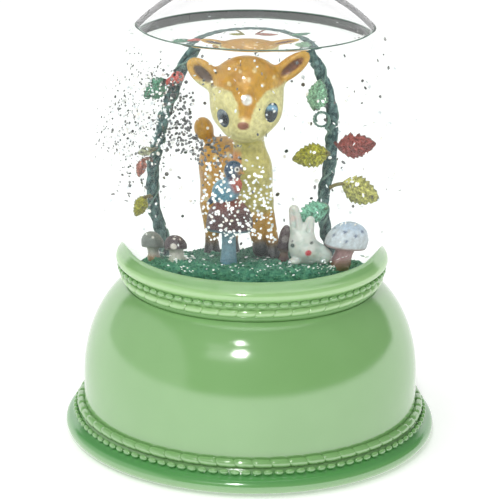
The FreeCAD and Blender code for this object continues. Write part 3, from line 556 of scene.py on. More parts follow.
@dataclass(frozen=True)
class MouldedPlastic:
    """Moulded plastic: clouded colour, faint flow lines, fine dust and hairline scuffs, with painted shade
    and painted highlight bands by height where they are given.
    """

    name: str
    colour: Colour
    shade_colour: Colour
    roughness: float = 0.12
    glow: float = 0.0
    grain: float = 0.00002
    scuffs: float = 0.12
    # painted shade and painted highlight: heights in mm with the colours that the plastic is multiplied by
    painted_light_bands: tuple[tuple[float, Colour], ...] = ()
    band_top: float = 60.0
    bend: float = 1.5

    def make(self) -> Finish:
        """Returns the material."""
        r = Recipe(self.name)
        colour = r.between(r.mask(r.noise(26.0, 3.0), 0.35, 0.7), self.colour, self.shade_colour)
        # painted shade and painted highlight: colour bands by height darken the plastic where shade falls and
        # brighten it where the room is reflected
        if self.painted_light_bands:
            rise = r.node("ShaderNodeSeparateXYZ", {0: r.place()}).outputs["Z"]
            share = r.sum("MULTIPLY", rise, 1 / (self.band_top * MM))
            band = r.ramp(share, [(height / self.band_top, tone) for height, tone in self.painted_light_bands])
            colour = r.between(1.0, colour, band, "MULTIPLY")
        dust = r.mask(r.noise(1400.0, 2.0), 0.74, 0.79, 0.35)
        grey = tuple(0.55 * c + 0.02 for c in self.shade_colour)
        stretched = r.node("ShaderNodeMapping", {"Vector": r.place(), "Rotation": (0.4, 0.9, 0.3),
                                                 "Scale": (1, 14, 14)})
        hair = r.node("ShaderNodeTexNoise", {"Vector": stretched.outputs[0], "Scale": 60.0, "Detail": 2.0})
        scratch = r.mask(hair.outputs["Fac"], 0.70, 0.75)
        swell = r.relief(r.noise(55.0, 2.0, 0.4), 0.0003, 0.16)
        if self.glow:
            r.shade(Subsurface_Radius=(0.6, 1.0, 0.6))
        return r.shade(Base_Color=r.between(dust, colour, grey), IOR=self.bend, Subsurface_Weight=self.glow,
                       Subsurface_Scale=0.002, Normal=r.relief(r.noise(3500.0, 2.0), self.grain, 0.6, swell),
                       Roughness=r.dullness(scratch, self.roughness, self.roughness + self.scuffs))


@dataclass(frozen=True)
class ThroughClear:
    """Clear glass, liquid or silicone: it bends light, and lets lamps through to what is inside."""

    name: str
    ior: float
    tint: Colour = FULL
    roughness: float = 0.0
    gloss: float = 0.4

    def make(self) -> Finish:
        """Returns the material."""
        r = Recipe(self.name)
        r.tree.nodes.remove(r.shader)
        bend = {"Color": self.tint, "IOR": self.ior, "Roughness": self.roughness}
        shiny = r.node("ShaderNodeBsdfGlass", bend)
        plain = r.node("ShaderNodeBsdfRefraction", bend)
        clear = r.node("ShaderNodeMixShader", {0: self.gloss, 1: plain.outputs[0], 2: shiny.outputs[0]})
        open_way = r.node("ShaderNodeBsdfTransparent", {"Color": self.tint})
        path = r.node("ShaderNodeLightPath").outputs
        lamps = r.sum("MAXIMUM", path["Is Shadow Ray"], path["Is Diffuse Ray"])
        both = r.node("ShaderNodeMixShader", {0: lamps, 1: clear.outputs[0], 2: open_way.outputs[0]})
        return r.surface(both)


@dataclass(frozen=True)
class PaintedResin:
    """Cast resin painted by hand: the mesh's paint, with brush marks, pores and rubbed spots."""

    name: str
    roughness: float = 0.38
    coat: float = 0.25
    pores: float = 0.00012
    wash: float = 0.16
    glow: float = 0.0

    def make(self) -> Finish:
        """Returns the material."""
        r = Recipe(self.name)
        marks = r.ramp(r.noise(900.0, 5.0, 0.6), [(0.35, (0.72, 0.70, 0.68)), (0.62, FULL)])
        brushed = r.between(1.0, r.paint(), r.between(min(1.0, self.wash / 0.16), FULL, marks), "MULTIPLY")
        rubbed = r.mask(r.noise(420.0, 3.0), 0.70, 0.78, self.wash)
        return r.shade(
            Base_Color=r.between(rubbed, brushed, (0.62, 0.58, 0.46)),
            Roughness=r.dullness(r.noise(700.0, 3.0), self.roughness - 0.08, self.roughness + 0.14),
            Normal=r.relief(r.noise(1600.0, 4.0), self.pores, 0.7),
            Coat_Weight=self.coat, Coat_Roughness=0.12,
            Subsurface_Weight=self.glow, Subsurface_Scale=0.0012)


@dataclass(frozen=True)
class WoolFelt:
    """Felt: matted fibres in two tones, a fuzzy sheen and an uneven face."""

    name: str
    colour: Colour
    dark: Colour

    def make(self) -> Finish:
        """Returns the material."""
        r = Recipe(self.name)
        fibres = r.noise(1700.0, 7.0, 0.8)
        fuzz = tuple(min(1, 1.9 * c + 0.04) for c in self.colour)
        tones = r.ramp(fibres, [(0.42, self.dark), (0.51, self.colour), (0.62, fuzz)])
        return r.shade(Base_Color=r.between(1.0, tones, r.paint(), "MULTIPLY"), Roughness=0.9,
                       Sheen_Weight=0.35, Sheen_Roughness=0.5, Normal=r.relief(fibres, 0.00035, 0.9))


@dataclass(frozen=True)
class MossFlock:
    """Flocked moss over resin: clumps in three greens with dark pits."""

    name: str
    colour: Colour
    dark: Colour
    light: Colour

    def make(self) -> Finish:
        """Returns the material."""
        r = Recipe(self.name)
        clumps = r.noise(850.0, 6.0, 0.7)
        colour = r.ramp(clumps, [(0.30, self.dark), (0.47, self.colour), (0.66, self.light)])
        patches = r.ramp(r.noise(150.0, 2.0), [(0.4, (0.62, 0.72, 0.7)), (0.62, FULL)])
        return r.shade(Base_Color=r.between(1.0, colour, patches, "MULTIPLY"), Roughness=0.75,
                       Sheen_Weight=0.1, Normal=r.relief(clumps, 0.0006, 1.0))


@dataclass(frozen=True)
class BareMetal:
    """Plated or drawn metal with fine lines and tarnish."""

    name: str
    colour: Colour = (0.62, 0.62, 0.62)
    roughness: float = 0.3
    tarnish: Colour = (0.35, 0.33, 0.30)

    def make(self) -> Finish:
        """Returns the material."""
        r = Recipe(self.name)
        stain = r.mask(r.noise(320.0, 4.0), 0.48, 0.75, 0.6)
        lines = r.noise(3000.0, 2.0)
        return r.shade(Base_Color=r.between(stain, self.colour, self.tarnish), Metallic=1.0,
                       Roughness=r.dullness(lines, self.roughness - 0.06, self.roughness + 0.18),
                       Normal=r.relief(lines, 0.00002, 0.5))


@dataclass(frozen=True)
class Soft:
    """Rubber, wire insulation or a printed board: a dull skin with grain and a second tone in patches."""

    name: str
    colour: Colour
    second: Colour
    roughness: float = 0.65
    patch: float = 240.0
    coat: float = 0.0

    def make(self) -> Finish:
        """Returns the material."""
        r = Recipe(self.name)
        return r.shade(
            Base_Color=r.ramp(r.noise(self.patch, 4.0), [(0.40, self.colour), (0.66, self.second)]),
            Roughness=r.dullness(r.noise(900.0, 3.0), self.roughness - 0.1, self.roughness + 0.12),
            Coat_Weight=self.coat, Normal=r.relief(r.noise(2800.0, 3.0), 0.00006, 0.6))


@dataclass(frozen=True)
class FoilGlitter:
    """Cut foil: bright metal whose tint changes from flake to flake, with a painted glow from emission in
    that tint.
    """

    name: str
    roughness: float = 0.22
    share: float = 1.0
    metal: float = 1.0
    painted_glow: float = 0.0

    def make(self) -> Finish:
        """Returns the material."""
        r = Recipe(self.name)
        tones = ((0.3, (0.50, 0.53, 0.55)), (0.5, (0.80, 0.82, 0.82)), (0.7, (0.62, 0.60, 0.55)))
        stops = [(stop, tuple(self.share * c for c in tone)) for stop, tone in tones]
        tint = r.ramp(r.noise(700.0, 0.0), stops)
        # painted glint: emission in the flakes' tint makes them glow as if they caught a lamp
        return r.shade(Base_Color=tint, Metallic=self.metal, Roughness=self.roughness, Emission_Color=tint,
                       Emission_Strength=self.painted_glow, Normal=r.relief(r.noise(5000.0, 1.0), 0.00001, 0.3))


# --- what repeats
class Grower(Wiring):
    """A Geometry Nodes tree with named inputs, as it is put together."""

    kinds = {int: "NodeSocketInt", float: "NodeSocketFloat", Finish: "NodeSocketMaterial"}

    def __init__(self, name: str, **inputs: type) -> None:
        """Starts the tree.

        Args:
            name: The tree's name.
            inputs: The type of each input after the geometry, with underscores for spaces.
        """
        super().__init__(bpy.data.node_groups.new(name, "GeometryNodeTree"))
        new = self.tree.interface.new_socket
        new(name="Geometry", in_out="INPUT", socket_type="NodeSocketGeometry")
        for label, kind in {**inputs, "Material": Finish}.items():
            new(name=label.replace("_", " "), in_out="INPUT", socket_type=self.kinds[kind])
        new(name="Geometry", in_out="OUTPUT", socket_type="NodeSocketGeometry")
        self.given = self.tree.nodes.new("NodeGroupInput").outputs
        self.made = self.tree.nodes.new("NodeGroupOutput")

    def vector(self, kind: str, **inputs: object) -> Socket:
        """One step of arithmetic on vectors, whose inputs are named a, b and scale."""
        keys = {"a": 0, "b": 1, "scale": "Scale"}
        named = {keys[name]: value for name, value in inputs.items()}
        return self.node("ShaderNodeVectorMath", named, operation=kind).outputs[0]

    def marked(self, name: str, kind: str = "FLOAT") -> Socket:
        """An attribute of the geometry."""
        mark = self.node("GeometryNodeInputNamedAttribute", {"Name": name}, data_type=kind)
        return mark.outputs["Attribute"]

    def copies(self, points: Socket, shape: Socket, **inputs: object) -> Socket:
        """The shape on each point, with the Rotation and Scale that are given."""
        sockets = {"Points": points, "Instance": shape, **inputs}
        return self.node("GeometryNodeInstanceOnPoints", sockets).outputs[0]

    def wire(self, line: Socket, radius: object, scale: object = 1.0) -> Socket:
        """A smooth round wire along a curve."""
        ring = self.node("GeometryNodeCurvePrimitiveCircle", {"Resolution": 8, "Radius": radius}).outputs[0]
        body = self.node("GeometryNodeCurveToMesh", {"Curve": line, "Profile Curve": ring, "Scale": scale,
                                                     "Fill Caps": True})
        return self.node("GeometryNodeSetShadeSmooth", {"Geometry": body.outputs[0]}).outputs[0]

    def finish(self, geometry: Socket) -> None:
        """Ends the tree with real geometry in its material.

        Args:
            geometry: What the tree made.
        """
        real = self.node("GeometryNodeRealizeInstances", {"Geometry": geometry})
        dressed = self.node("GeometryNodeSetMaterial", {"Geometry": real.outputs[0],
                                                        "Material": self.given["Material"]})
        self.tree.links.new(dressed.outputs[0], self.made.inputs[0])

    def grow(self, source: Piece, name: str, **values: object) -> Piece:
        """Runs the tree on an object and keeps the result as a plain mesh.

        Args:
            source: What the tree works on. It is removed afterwards.
            name: The new piece's name.
            values: The inputs by name, with underscores for spaces.

        Returns:
            The new piece.
        """
        change = source.modifiers.new("grow", "NODES")
        change.node_group = self.tree
        for item in self.tree.interface.items_tree:
            key = item.name.replace(" ", "_")
            if item.in_out == "INPUT" and key in values:
                change[item.identifier] = values[key]
        bpy.context.view_layer.update()
        graph = bpy.context.evaluated_depsgraph_get()
        mesh = bpy.data.meshes.new_from_object(source.evaluated_get(graph))
        mesh.name = name
        source.modifiers.remove(change)
        bpy.data.objects.remove(source)
        return placed(name, mesh)


def copies_tree() -> Grower:
    """Copies the given shape round the upright axis.

    Returns:
        The tree, with inputs Copies, Start and Material.
    """
    g = Grower("copies_round_axis", Copies=int, Start=float)
    spots = g.node("GeometryNodePoints", {"Count": g.given["Copies"]}).outputs[0]
    share = g.sum("DIVIDE", g.node("GeometryNodeInputIndex").outputs[0], g.given["Copies"])
    angle = g.sum("ADD", g.sum("MULTIPLY", share, 2 * math.pi), g.given["Start"])
    turn = g.node("ShaderNodeCombineXYZ", {"Z": angle}).outputs[0]
    g.finish(g.copies(spots, g.given["Geometry"], Rotation=turn))
    return g


def twist_tree() -> Grower:
    """Strands that wind round each other along a curve.

    Returns:
        The tree, with inputs Strands, Strand Radius, Twist Radius, Turns, Samples and Material.
    """
    g = Grower("twisted_strands", Strands=int, Strand_Radius=float, Twist_Radius=float,
               Turns=float, Samples=int)
    even = g.node("GeometryNodeResampleCurve", {"Curve": g.given["Geometry"], "Count": g.given["Samples"]})
    many = g.node("GeometryNodeDuplicateElements",
                  {"Geometry": even.outputs[0], "Amount": g.given["Strands"]},
                  domain="SPLINE")
    normal = g.node("GeometryNodeInputNormal").outputs[0]
    tangent = g.node("GeometryNodeInputTangent").outputs[0]
    side = g.vector("CROSS_PRODUCT", a=tangent, b=normal)
    along = g.node("GeometryNodeSplineParameter").outputs["Factor"]
    turns = g.sum("MULTIPLY", along, g.given["Turns"])
    strand = g.sum("DIVIDE", many.outputs["Duplicate Index"], g.given["Strands"])
    angle = g.sum("MULTIPLY", g.sum("ADD", turns, strand), 2 * math.pi)
    wide = g.given["Twist Radius"]
    out = g.vector("SCALE", a=normal, scale=g.sum("MULTIPLY", g.sum("COSINE", angle), wide))
    over = g.vector("SCALE", a=side, scale=g.sum("MULTIPLY", g.sum("SINE", angle), wide))
    wound = g.node("GeometryNodeSetPosition", {"Geometry": many.outputs[0],
                                                    "Offset": g.vector("ADD", a=out, b=over)})
    lumps = g.node("ShaderNodeTexNoise", {"Scale": 650.0, "Detail": 2.0}).outputs["Fac"]
    thick = g.sum("MULTIPLY", g.sum("ADD", lumps, 0.5), g.given["Strand Radius"])
    g.finish(g.wire(wound.outputs[0], 1.0, thick))
    return g


def tuft_tree() -> Grower:
    """Small tufts strewn over a surface, which is kept.

    Returns:
        The tree, with inputs Density, Tuft Radius, Seed and Material.
    """
    g = Grower("strewn_tufts", Density=float, Tuft_Radius=float, Seed=int)
    density = g.sum("MULTIPLY", g.marked("tufts"), g.given["Density"])
    spots = g.node("GeometryNodeDistributePointsOnFaces", {"Mesh": g.given["Geometry"], "Density": density,
                                                           "Seed": g.given["Seed"]})
    ball = g.node("GeometryNodeMeshIcoSphere", {"Radius": g.given["Tuft Radius"], "Subdivisions": 1})

    def chance(low: Point, high: Point, seed: int) -> Socket:
        """Random vectors between two."""
        return g.node("FunctionNodeRandomValue", {0: low, 1: high, "Seed": seed},
                      data_type="FLOAT_VECTOR").outputs[0]
    tufts = g.copies(spots.outputs["Points"], ball.outputs[0],
                     Rotation=chance((0, 0, 0), (6.28, 6.28, 6.28), 4),
                     Scale=chance((0.6, 0.6, 0.35), (1.9, 1.9, 1.3), 3))
    both = g.node("GeometryNodeJoinGeometry")
    g.tree.links.new(g.given["Geometry"], both.inputs[0])
    g.tree.links.new(tufts, both.inputs[0])
    g.finish(both.outputs[0])
    return g


def flake_tree() -> Grower:
    """A six-sided flake on each given place, turned and sized by that place's "turn" and "size".

    Returns:
        The tree, with inputs Flake Radius, Flake Thickness and Material.
    """
    g = Grower("six_sided_flakes", Flake_Radius=float, Flake_Thickness=float)
    flake = g.node("GeometryNodeMeshCylinder", {"Vertices": 6, "Radius": g.given["Flake Radius"],
                                                "Depth": g.given["Flake Thickness"]}, fill_type="NGON")
    spots = g.node("GeometryNodeMeshToPoints", {"Mesh": g.given["Geometry"]})
    g.finish(g.copies(spots.outputs[0], flake.outputs[0], Rotation=g.marked("turn", "FLOAT_VECTOR"),
                      Scale=g.marked("size")))
    return g


def coil_tree() -> Grower:
    """A tapered coil spring along +Z from the origin.

    Returns:
        The tree, with inputs Turns, Wide, Narrow, Length, Wire Radius and Material.
    """
    g = Grower("tapered_coil", Turns=float, Wide=float, Narrow=float, Length=float, Wire_Radius=float)
    spiral = g.node("GeometryNodeCurveSpiral", {
        "Resolution": 24, "Rotations": g.given["Turns"], "Start Radius": g.given["Wide"],
        "End Radius": g.given["Narrow"], "Height": g.given["Length"]})
    g.finish(g.wire(spiral.outputs[0], g.given["Wire Radius"]))
    return g


# --- palette
JADE = screen(137, 184, 118)
JADE_SHADE = screen(129, 177, 109)
GOLD = screen(206, 154, 44)
GOLD_DARK = screen(166, 110, 32)
ORANGE = screen(208, 126, 48)
CREAM = screen(236, 228, 162)
CREAM_SHADE = screen(214, 206, 132)
HOOF = screen(16, 30, 30)
INK = screen(22, 48, 58)
WHITE = screen(246, 246, 240)


class Slot(Enum):
    """The record's material slots, one given with each new piece."""

    JADE = "jade_gloss"
    GLASS = "clear_glass"
    LIQUID = "liquid"
    MOSS = "moss_resin"
    GLITTER = "glitter"
    VINE = "vine"
    FAWN = "fawn_paint"
    BIRD = "bird_paint"
    RABBIT = "rabbit_paint"
    RED_CAP = "red_cap"
    PLUM_CAP = "plum_cap"
    BLUE_CAP = "blue_cap"
    BROWN_CAP = "brown_cap"
    GREY_CAP = "grey_cap"
    BERRY = "berry"
    LEAF_GREEN = "leaf_green"
    LEAF_RED = "leaf_red"
    LEAF_OLIVE = "leaf_olive"
    SPRING = "spring_steel"


def settle(piece: Piece, slot: Slot, *nodes: str, finish: Finish | None = None) -> None:
    """Puts a finished piece on the globe's base and hides the CAD parts that it replaces.

    Args:
        piece: The piece.
        slot: The record's slot for its finish; not used.
        nodes: The CAD nodes that it replaces.
        finish: Its material, where it has none yet.
    """
    if finish is not None:
        piece.data.materials.clear()
        piece.data.materials.append(finish)
    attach(piece, "globe_base")
    if nodes:
        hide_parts(*nodes)
    LOG.info("%s: %d faces", piece.name, len(piece.data.polygons))


# --- the moulded base
@dataclass
class Base:
    """The jade housing and the collar above it, with their rope and bead mouldings. Sizes in mm."""

    wall_radius: float = 51.7
    wall: float = 2.4
    shoulder_start: float = 18.3
    shoulder_height: float = 32.0
    shoulder_centre: float = 30.0
    deck_radius: float = 39.0
    rim_round: float = 2.2
    foot_stand: float = 1.0
    seat_radius: float = 37.9
    globe_radius: float = 50.15
    socket_radius: float = 31.0
    steps: int = 240
    rim_radius: float = field(default_factory=lambda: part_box("base_housing")[1][0] / MM)
    deck: float = field(default_factory=lambda: foot_of("collar_ring"))
    globe: float = field(default_factory=lambda: top_of("globe_glass") - BALL_RADIUS)

    def housing_outline(self) -> Outline:
        """The housing's section: foot, cove, wall, shoulder and deck, and back down inside.

        Returns:
            Radius and height pairs, round the section once.
        """
        rim = (self.rim_radius - self.rim_round, self.foot_stand + self.rim_round)
        width = self.wall_radius - self.shoulder_centre
        inner = self.wall_radius - self.wall
        angles = np.radians(np.linspace(0, 65.4, 40))

        def oval(wide: float, high: float, turns: np.ndarray) -> Outline:
            """A quarter oval round the shoulder's centre."""
            return [(self.shoulder_centre + wide * math.cos(a), self.shoulder_start + high * math.sin(a))
                    for a in turns]
        shoulder = oval(width, self.shoulder_height, angles)
        hollow = oval(width - self.wall, self.shoulder_height - self.wall, angles[::-3])
        foot = rounded(rim, self.rim_round, -90, 80, 16)
        cove = [(54.6, 5.9), (53.9, 6.5), (53.5, 7.4), (52.6, 8.0), (self.wall_radius + 0.15, 9.2),
                (self.wall_radius, 10.4)]
        deck = [(self.deck_radius, self.deck), (self.socket_radius, self.deck), (self.socket_radius, 40.0),
                (self.socket_radius + 2, 40.0), (self.socket_radius + 2, self.deck - self.wall)]
        outside = [(53.0, self.foot_stand)] + foot + cove + shoulder
        return outside + deck + hollow + [(inner, 5.0), (53.0, 5.0)]

    def collar_outline(self) -> Outline:
        """The collar's section: groove for rope and beads, bright band, lip and the seat of the glass.

        Returns:
            Radius and height pairs, round the section once.
        """
        d = self.deck
        seat = []
        for radius in np.linspace(self.seat_radius + 0.25, self.socket_radius, 10):
            seat.append((radius, self.globe - math.sqrt(self.globe_radius ** 2 - radius ** 2)))
        low = [(38.6, d), (39.2, d + 1.0), (39.6, d + 4.3),
               (40.2, d + 4.9), (40.3, d + 6.3), (40.75, d + 6.75)]
        band = rounded((39.9, d + 8.35), 1.75, -38, 62, 14)
        slope = [(40.1, d + 10.55), (39.3, d + 11.25), (38.7, d + 11.75), (38.25, d + 11.72)]
        return [(self.socket_radius, d)] + low + band + slope + seat[:-1]

    def segment(self, radius: float, height: float, thick: float, count: int, slant: float) -> Piece:
        """One piece of rope moulding in its place: a slanted barrel that pulls in at both ends.

        Args:
            radius: The rope's ring.
            height: Its height.
            thick: The rope's radius.
            count: How many pieces make the ring.
            slant: How far the top runs ahead of the bottom, in mm.

        Returns:
            The piece.
        """
        half = math.pi / count
        points, faces = [], []
        along = (-1.0, -0.93, -0.8, -0.45, 0.0, 0.45, 0.8, 0.93, 1.0)
        around = 14
        for share in along:
            pinch = 1.0 - 0.24 * max(0.0, (abs(share) - 0.70) / 0.30) ** 1.6
            for k in range(around):
                turn = 2 * math.pi * k / around
                reach = radius + thick * pinch * math.cos(turn)
                rise = thick * pinch * math.sin(turn)
                angle = half * share + slant * rise / thick / radius
                points.append((reach * math.cos(angle), reach * math.sin(angle), height + rise))
        for row in range(len(along) - 1):
            for k in range(around):
                after = (k + 1) % around
                a, b = row * around, (row + 1) * around
                faces.append([a + k, a + after, b + after, b + k])
        faces.append(list(range(around))[::-1])
        faces.append(list(range((len(along) - 1) * around, len(along) * around)))
        return solid("rope_piece", np.array(points), [f[::-1] for f in faces])

    def bead(self, radius: float, height: float, size: float) -> Piece:
        """One bead in its place, longer round the base than it is high."""
        points, faces = turned(rounded((0, 0), size, -90, 90, 9), 12)
        return solid("bead", points * np.array((1.0, 2.0, 1.15)) + np.array((radius, 0, height)), faces)

    def build(self, jade: Finish) -> None:
        """Builds and dresses the housing, the collar and their mouldings.

        Args:
            jade: The base's finish.
        """
        housing = solid("housing_shell", *closed_turned(self.housing_outline(), self.steps))
        collar = solid("collar_shell", *closed_turned(self.collar_outline(), self.steps))
        ring = copies_tree()
        d = self.deck
        mouldings = [ring.grow(source, name, Copies=count, Material=jade) for source, name, count in (
            (self.segment(52.7, 9.2, 1.3, 63, -0.55), "lower_rope", 63),
            (self.bead(54.5, 7.15, 0.72), "lower_beads", 107),
            (self.segment(39.2, d + 2.9, 1.3, 47, 0.55), "upper_rope", 47),
            (self.bead(40.55, d + 5.6, 0.74), "upper_beads", 80))]
        settle(housing, Slot.JADE, "base_housing", finish=jade)
        settle(collar, Slot.JADE, "collar_ring", finish=jade)
        for piece in mouldings:
            settle(piece, Slot.JADE)


# --- the glass and what fills it
@dataclass
class Globe:
    """The blown ball with its neck, and the liquid up to its level. Sizes in mm."""

    radius: float = BALL_RADIUS
    glass: float = 1.8
    neck: float = 29.0
    overlap: float = 0.12
    climb: float = 0.25
    steps: int = 192
    meniscus: float = 1.6
    centre: float = field(default_factory=lambda: top_of("globe_glass") - BALL_RADIUS)
    water: float = field(default_factory=lambda: top_of("liquid_fill"))
    neck_low: float = field(default_factory=lambda: foot_of("globe_glass"))
    stopper: float = field(default_factory=lambda: top_of("neck_stopper"))

    def ball(self, radius: float, neck: float, low: float, count: int) -> Outline:
        """A ball over a neck, from the neck's bottom up to the pole.

        Args:
            radius: The ball's radius.
            neck: The neck's radius.
            low: The neck's bottom.
            count: How many places the ball's outline has.

        Returns:
            Radius and height pairs.
        """
        start = -math.degrees(math.acos(neck / radius))
        outline = [(neck, low)] + rounded((0, self.centre), radius, start, 90, count)
        outline[-1] = (0.0, outline[-1][1])
        return outline

    def build(self, glass: Finish, liquid: Finish, painted_waterline_shade: Finish) -> None:
        """Builds and dresses the glass and the liquid.

        Args:
            glass: The glass's finish.
            liquid: The liquid's finish.
            painted_waterline_shade: The finish of the liquid's edge, a dark ring of painted shade.
        """
        outside = self.ball(self.radius, self.neck, self.neck_low, 120)
        inside = self.ball(self.radius - self.glass, self.neck - self.glass, self.neck_low, 120)[::-1]
        bowl = solid("globe_bowl", *closed_turned(outside + inside, self.steps))
        settle(bowl, Slot.GLASS, "globe_glass", finish=glass)

        wide = self.radius - self.glass + self.overlap
        low = self.stopper + 0.05
        fill = self.ball(wide, self.neck - self.glass + self.overlap, low, 150)
        level = self.water + self.climb
        body = [place for place in fill if place[1] < level]
        edge = math.sqrt(wide ** 2 - (level - self.centre) ** 2)
        rise = [(edge, level)]
        for share in np.linspace(0.12, 1, 9):
            rise.append((edge - self.meniscus * share, self.water + self.climb * (1 - share) ** 3))
        surface = [(0.0, low)] + body + rise + [(16.0, self.water), (0.0, self.water)]
        settle(solid("clear_liquid", *turned(surface, self.steps)), Slot.LIQUID, "liquid_fill", finish=liquid)
        self.edge(edge, painted_waterline_shade)

    def edge(self, radius: float, painted_waterline_shade: Finish) -> None:
        """Builds the fine dark line of the liquid's edge on the glass, a ring of painted shade where the
        meniscus looks dark.

        Args:
            radius: The liquid's radius at its level.
            painted_waterline_shade: The finish of the line of painted shade.
        """
        # painted shade: a thin dark ring that stands for the meniscus's dark line
        section = [(radius - 0.35 + 0.30 * math.cos(a), self.water + 0.08 + 0.26 * math.sin(a))
                   for a in np.linspace(0, 2 * math.pi, 11)[:-1]]
        settle(solid("waterline_edge", *closed_turned(section, self.steps)), Slot.LIQUID, finish=painted_waterline_shade)


# --- the mossy ground
@dataclass
class Ground:
    """The round mound that everything stands on. Sizes in mm."""

    radius: float = 26.0
    shoulder: float = 20.0
    edge_drop: float = 4.1
    steps: int = 200
    top: float = field(default_factory=lambda: top_of("ground_mound"))
    low: float = field(default_factory=lambda: foot_of("ground_mound"))

    def build(self, moss: Finish) -> None:
        """Builds the mound and strews it with tufts.

        Args:
            moss: Its finish.
        """
        top = self.top
        crest = [(self.radius, top - self.edge_drop - 0.6)]
        crest += [(25.4, top - 3.1), (24.6, top - 2.2), (23.6, top - 1.6), (22.3, top - 1.1),
                  (20.8, top - 0.85)]
        crest += [(r, top - 0.8 * (r / self.shoulder) ** 2) for r in np.linspace(19.4, 1.0, 18)]
        floor = [(0.0, self.low + 0.1), (self.radius - 0.6, self.low + 0.1)]
        wall = [(self.radius, z) for z in np.linspace(self.low + 0.3, top - self.edge_drop - 1.4, 10)]
        points, faces = turned(floor + wall + crest + [(0.0, top)], self.steps)
        reach = np.hypot(points[:, 0], points[:, 1])
        rough = ripple(points, 3.4, 5) * 0.34 + ripple(points, 1.3, 6) * 0.24
        free = edge_of(self.low + 2, self.low + 6, points[:, 2])
        shrink = 1 + (np.minimum(rough, 0.1) - 0.25) * free / np.maximum(reach, 6)
        points[:, :2] *= np.where(reach > 21, shrink, 1.0)[:, None]
        points[:, 2] += np.where(reach < 24.5, rough - 0.1, 0) * free
        mound = solid("mound_body", points, faces)
        share = mound.data.attributes.new("tufts", "FLOAT", "POINT")
        share.data.foreach_set("value", edge_of(self.low + 5, self.low + 8, points[:, 2]).astype(np.float32))
        moss_piece = tuft_tree().grow(mound, "mossy_mound", Density=1.05e6,
                                      Tuft_Radius=0.00034, Seed=11, Material=moss)
        settle(moss_piece, Slot.MOSS, "ground_mound")


# --- the painted figures
class Figure:
    """A figure of clay that stands on the mound: heights are over the mound's top, in mm."""

    def __init__(self, ground: float) -> None:
        """Keeps the ground's height.

        Args:
            ground: The mound's top in mm.
        """
        self.ground = ground

    def at(self, x: float, y: float, rise: float) -> Point:
        """A place by its height over the mound."""
        return (x, y, self.ground + rise)

    def cast(self, name: str, clay: Clay, low: Point, high: Point, step: float,
             paint: Callable[[np.ndarray, np.ndarray], np.ndarray]) -> Piece:
        """Casts the clay and paints it.

        Args:
            name: The piece's name.
            clay: Its shape.
            low: The low corner of the box it lies in, by its rise.
            high: The high corner.
            step: The grid's spacing in mm.
            paint: Gives the colours from the places, as x, y and rise, and the lumps' own colours.

        Returns:
            The painted piece.
        """
        points, faces = clay.skin(self.at(*low), self.at(*high), step)
        local = points - np.array((0, 0, self.ground))
        return solid(name, points, faces, paint(local, clay.colours(points)))


def spot(places: np.ndarray, x: float, z: float, radius: float, soft: float = 0.25) -> np.ndarray:
    """How much of a round spot, seen from the front, covers each place."""
    away = np.hypot(places[:, 0] - x, places[:, 2] - z)
    return 1 - edge_of(radius - soft, radius + soft, away)


def leaned(across: np.ndarray, up: np.ndarray, lean: float) -> tuple[np.ndarray, np.ndarray]:
    """Places along and across a mark that leans by some degrees."""
    a = math.radians(lean)
    return across * math.cos(a) + up * math.sin(a), up * math.cos(a) - across * math.sin(a)


@dataclass(frozen=True)
class Eye:
    """A painted eye: its place and half sizes in mm, its lean and turn in degrees, the strength of its
    painted highlights, and its tones.
    """

    name: str
    x: float
    rise: float
    wide: float
    tall: float
    tilt: float
    yaw: float
    # strength of the painted highlights, white dots that stand for the lamp's reflections
    lights: float
    tone: Colour
    pale: Colour


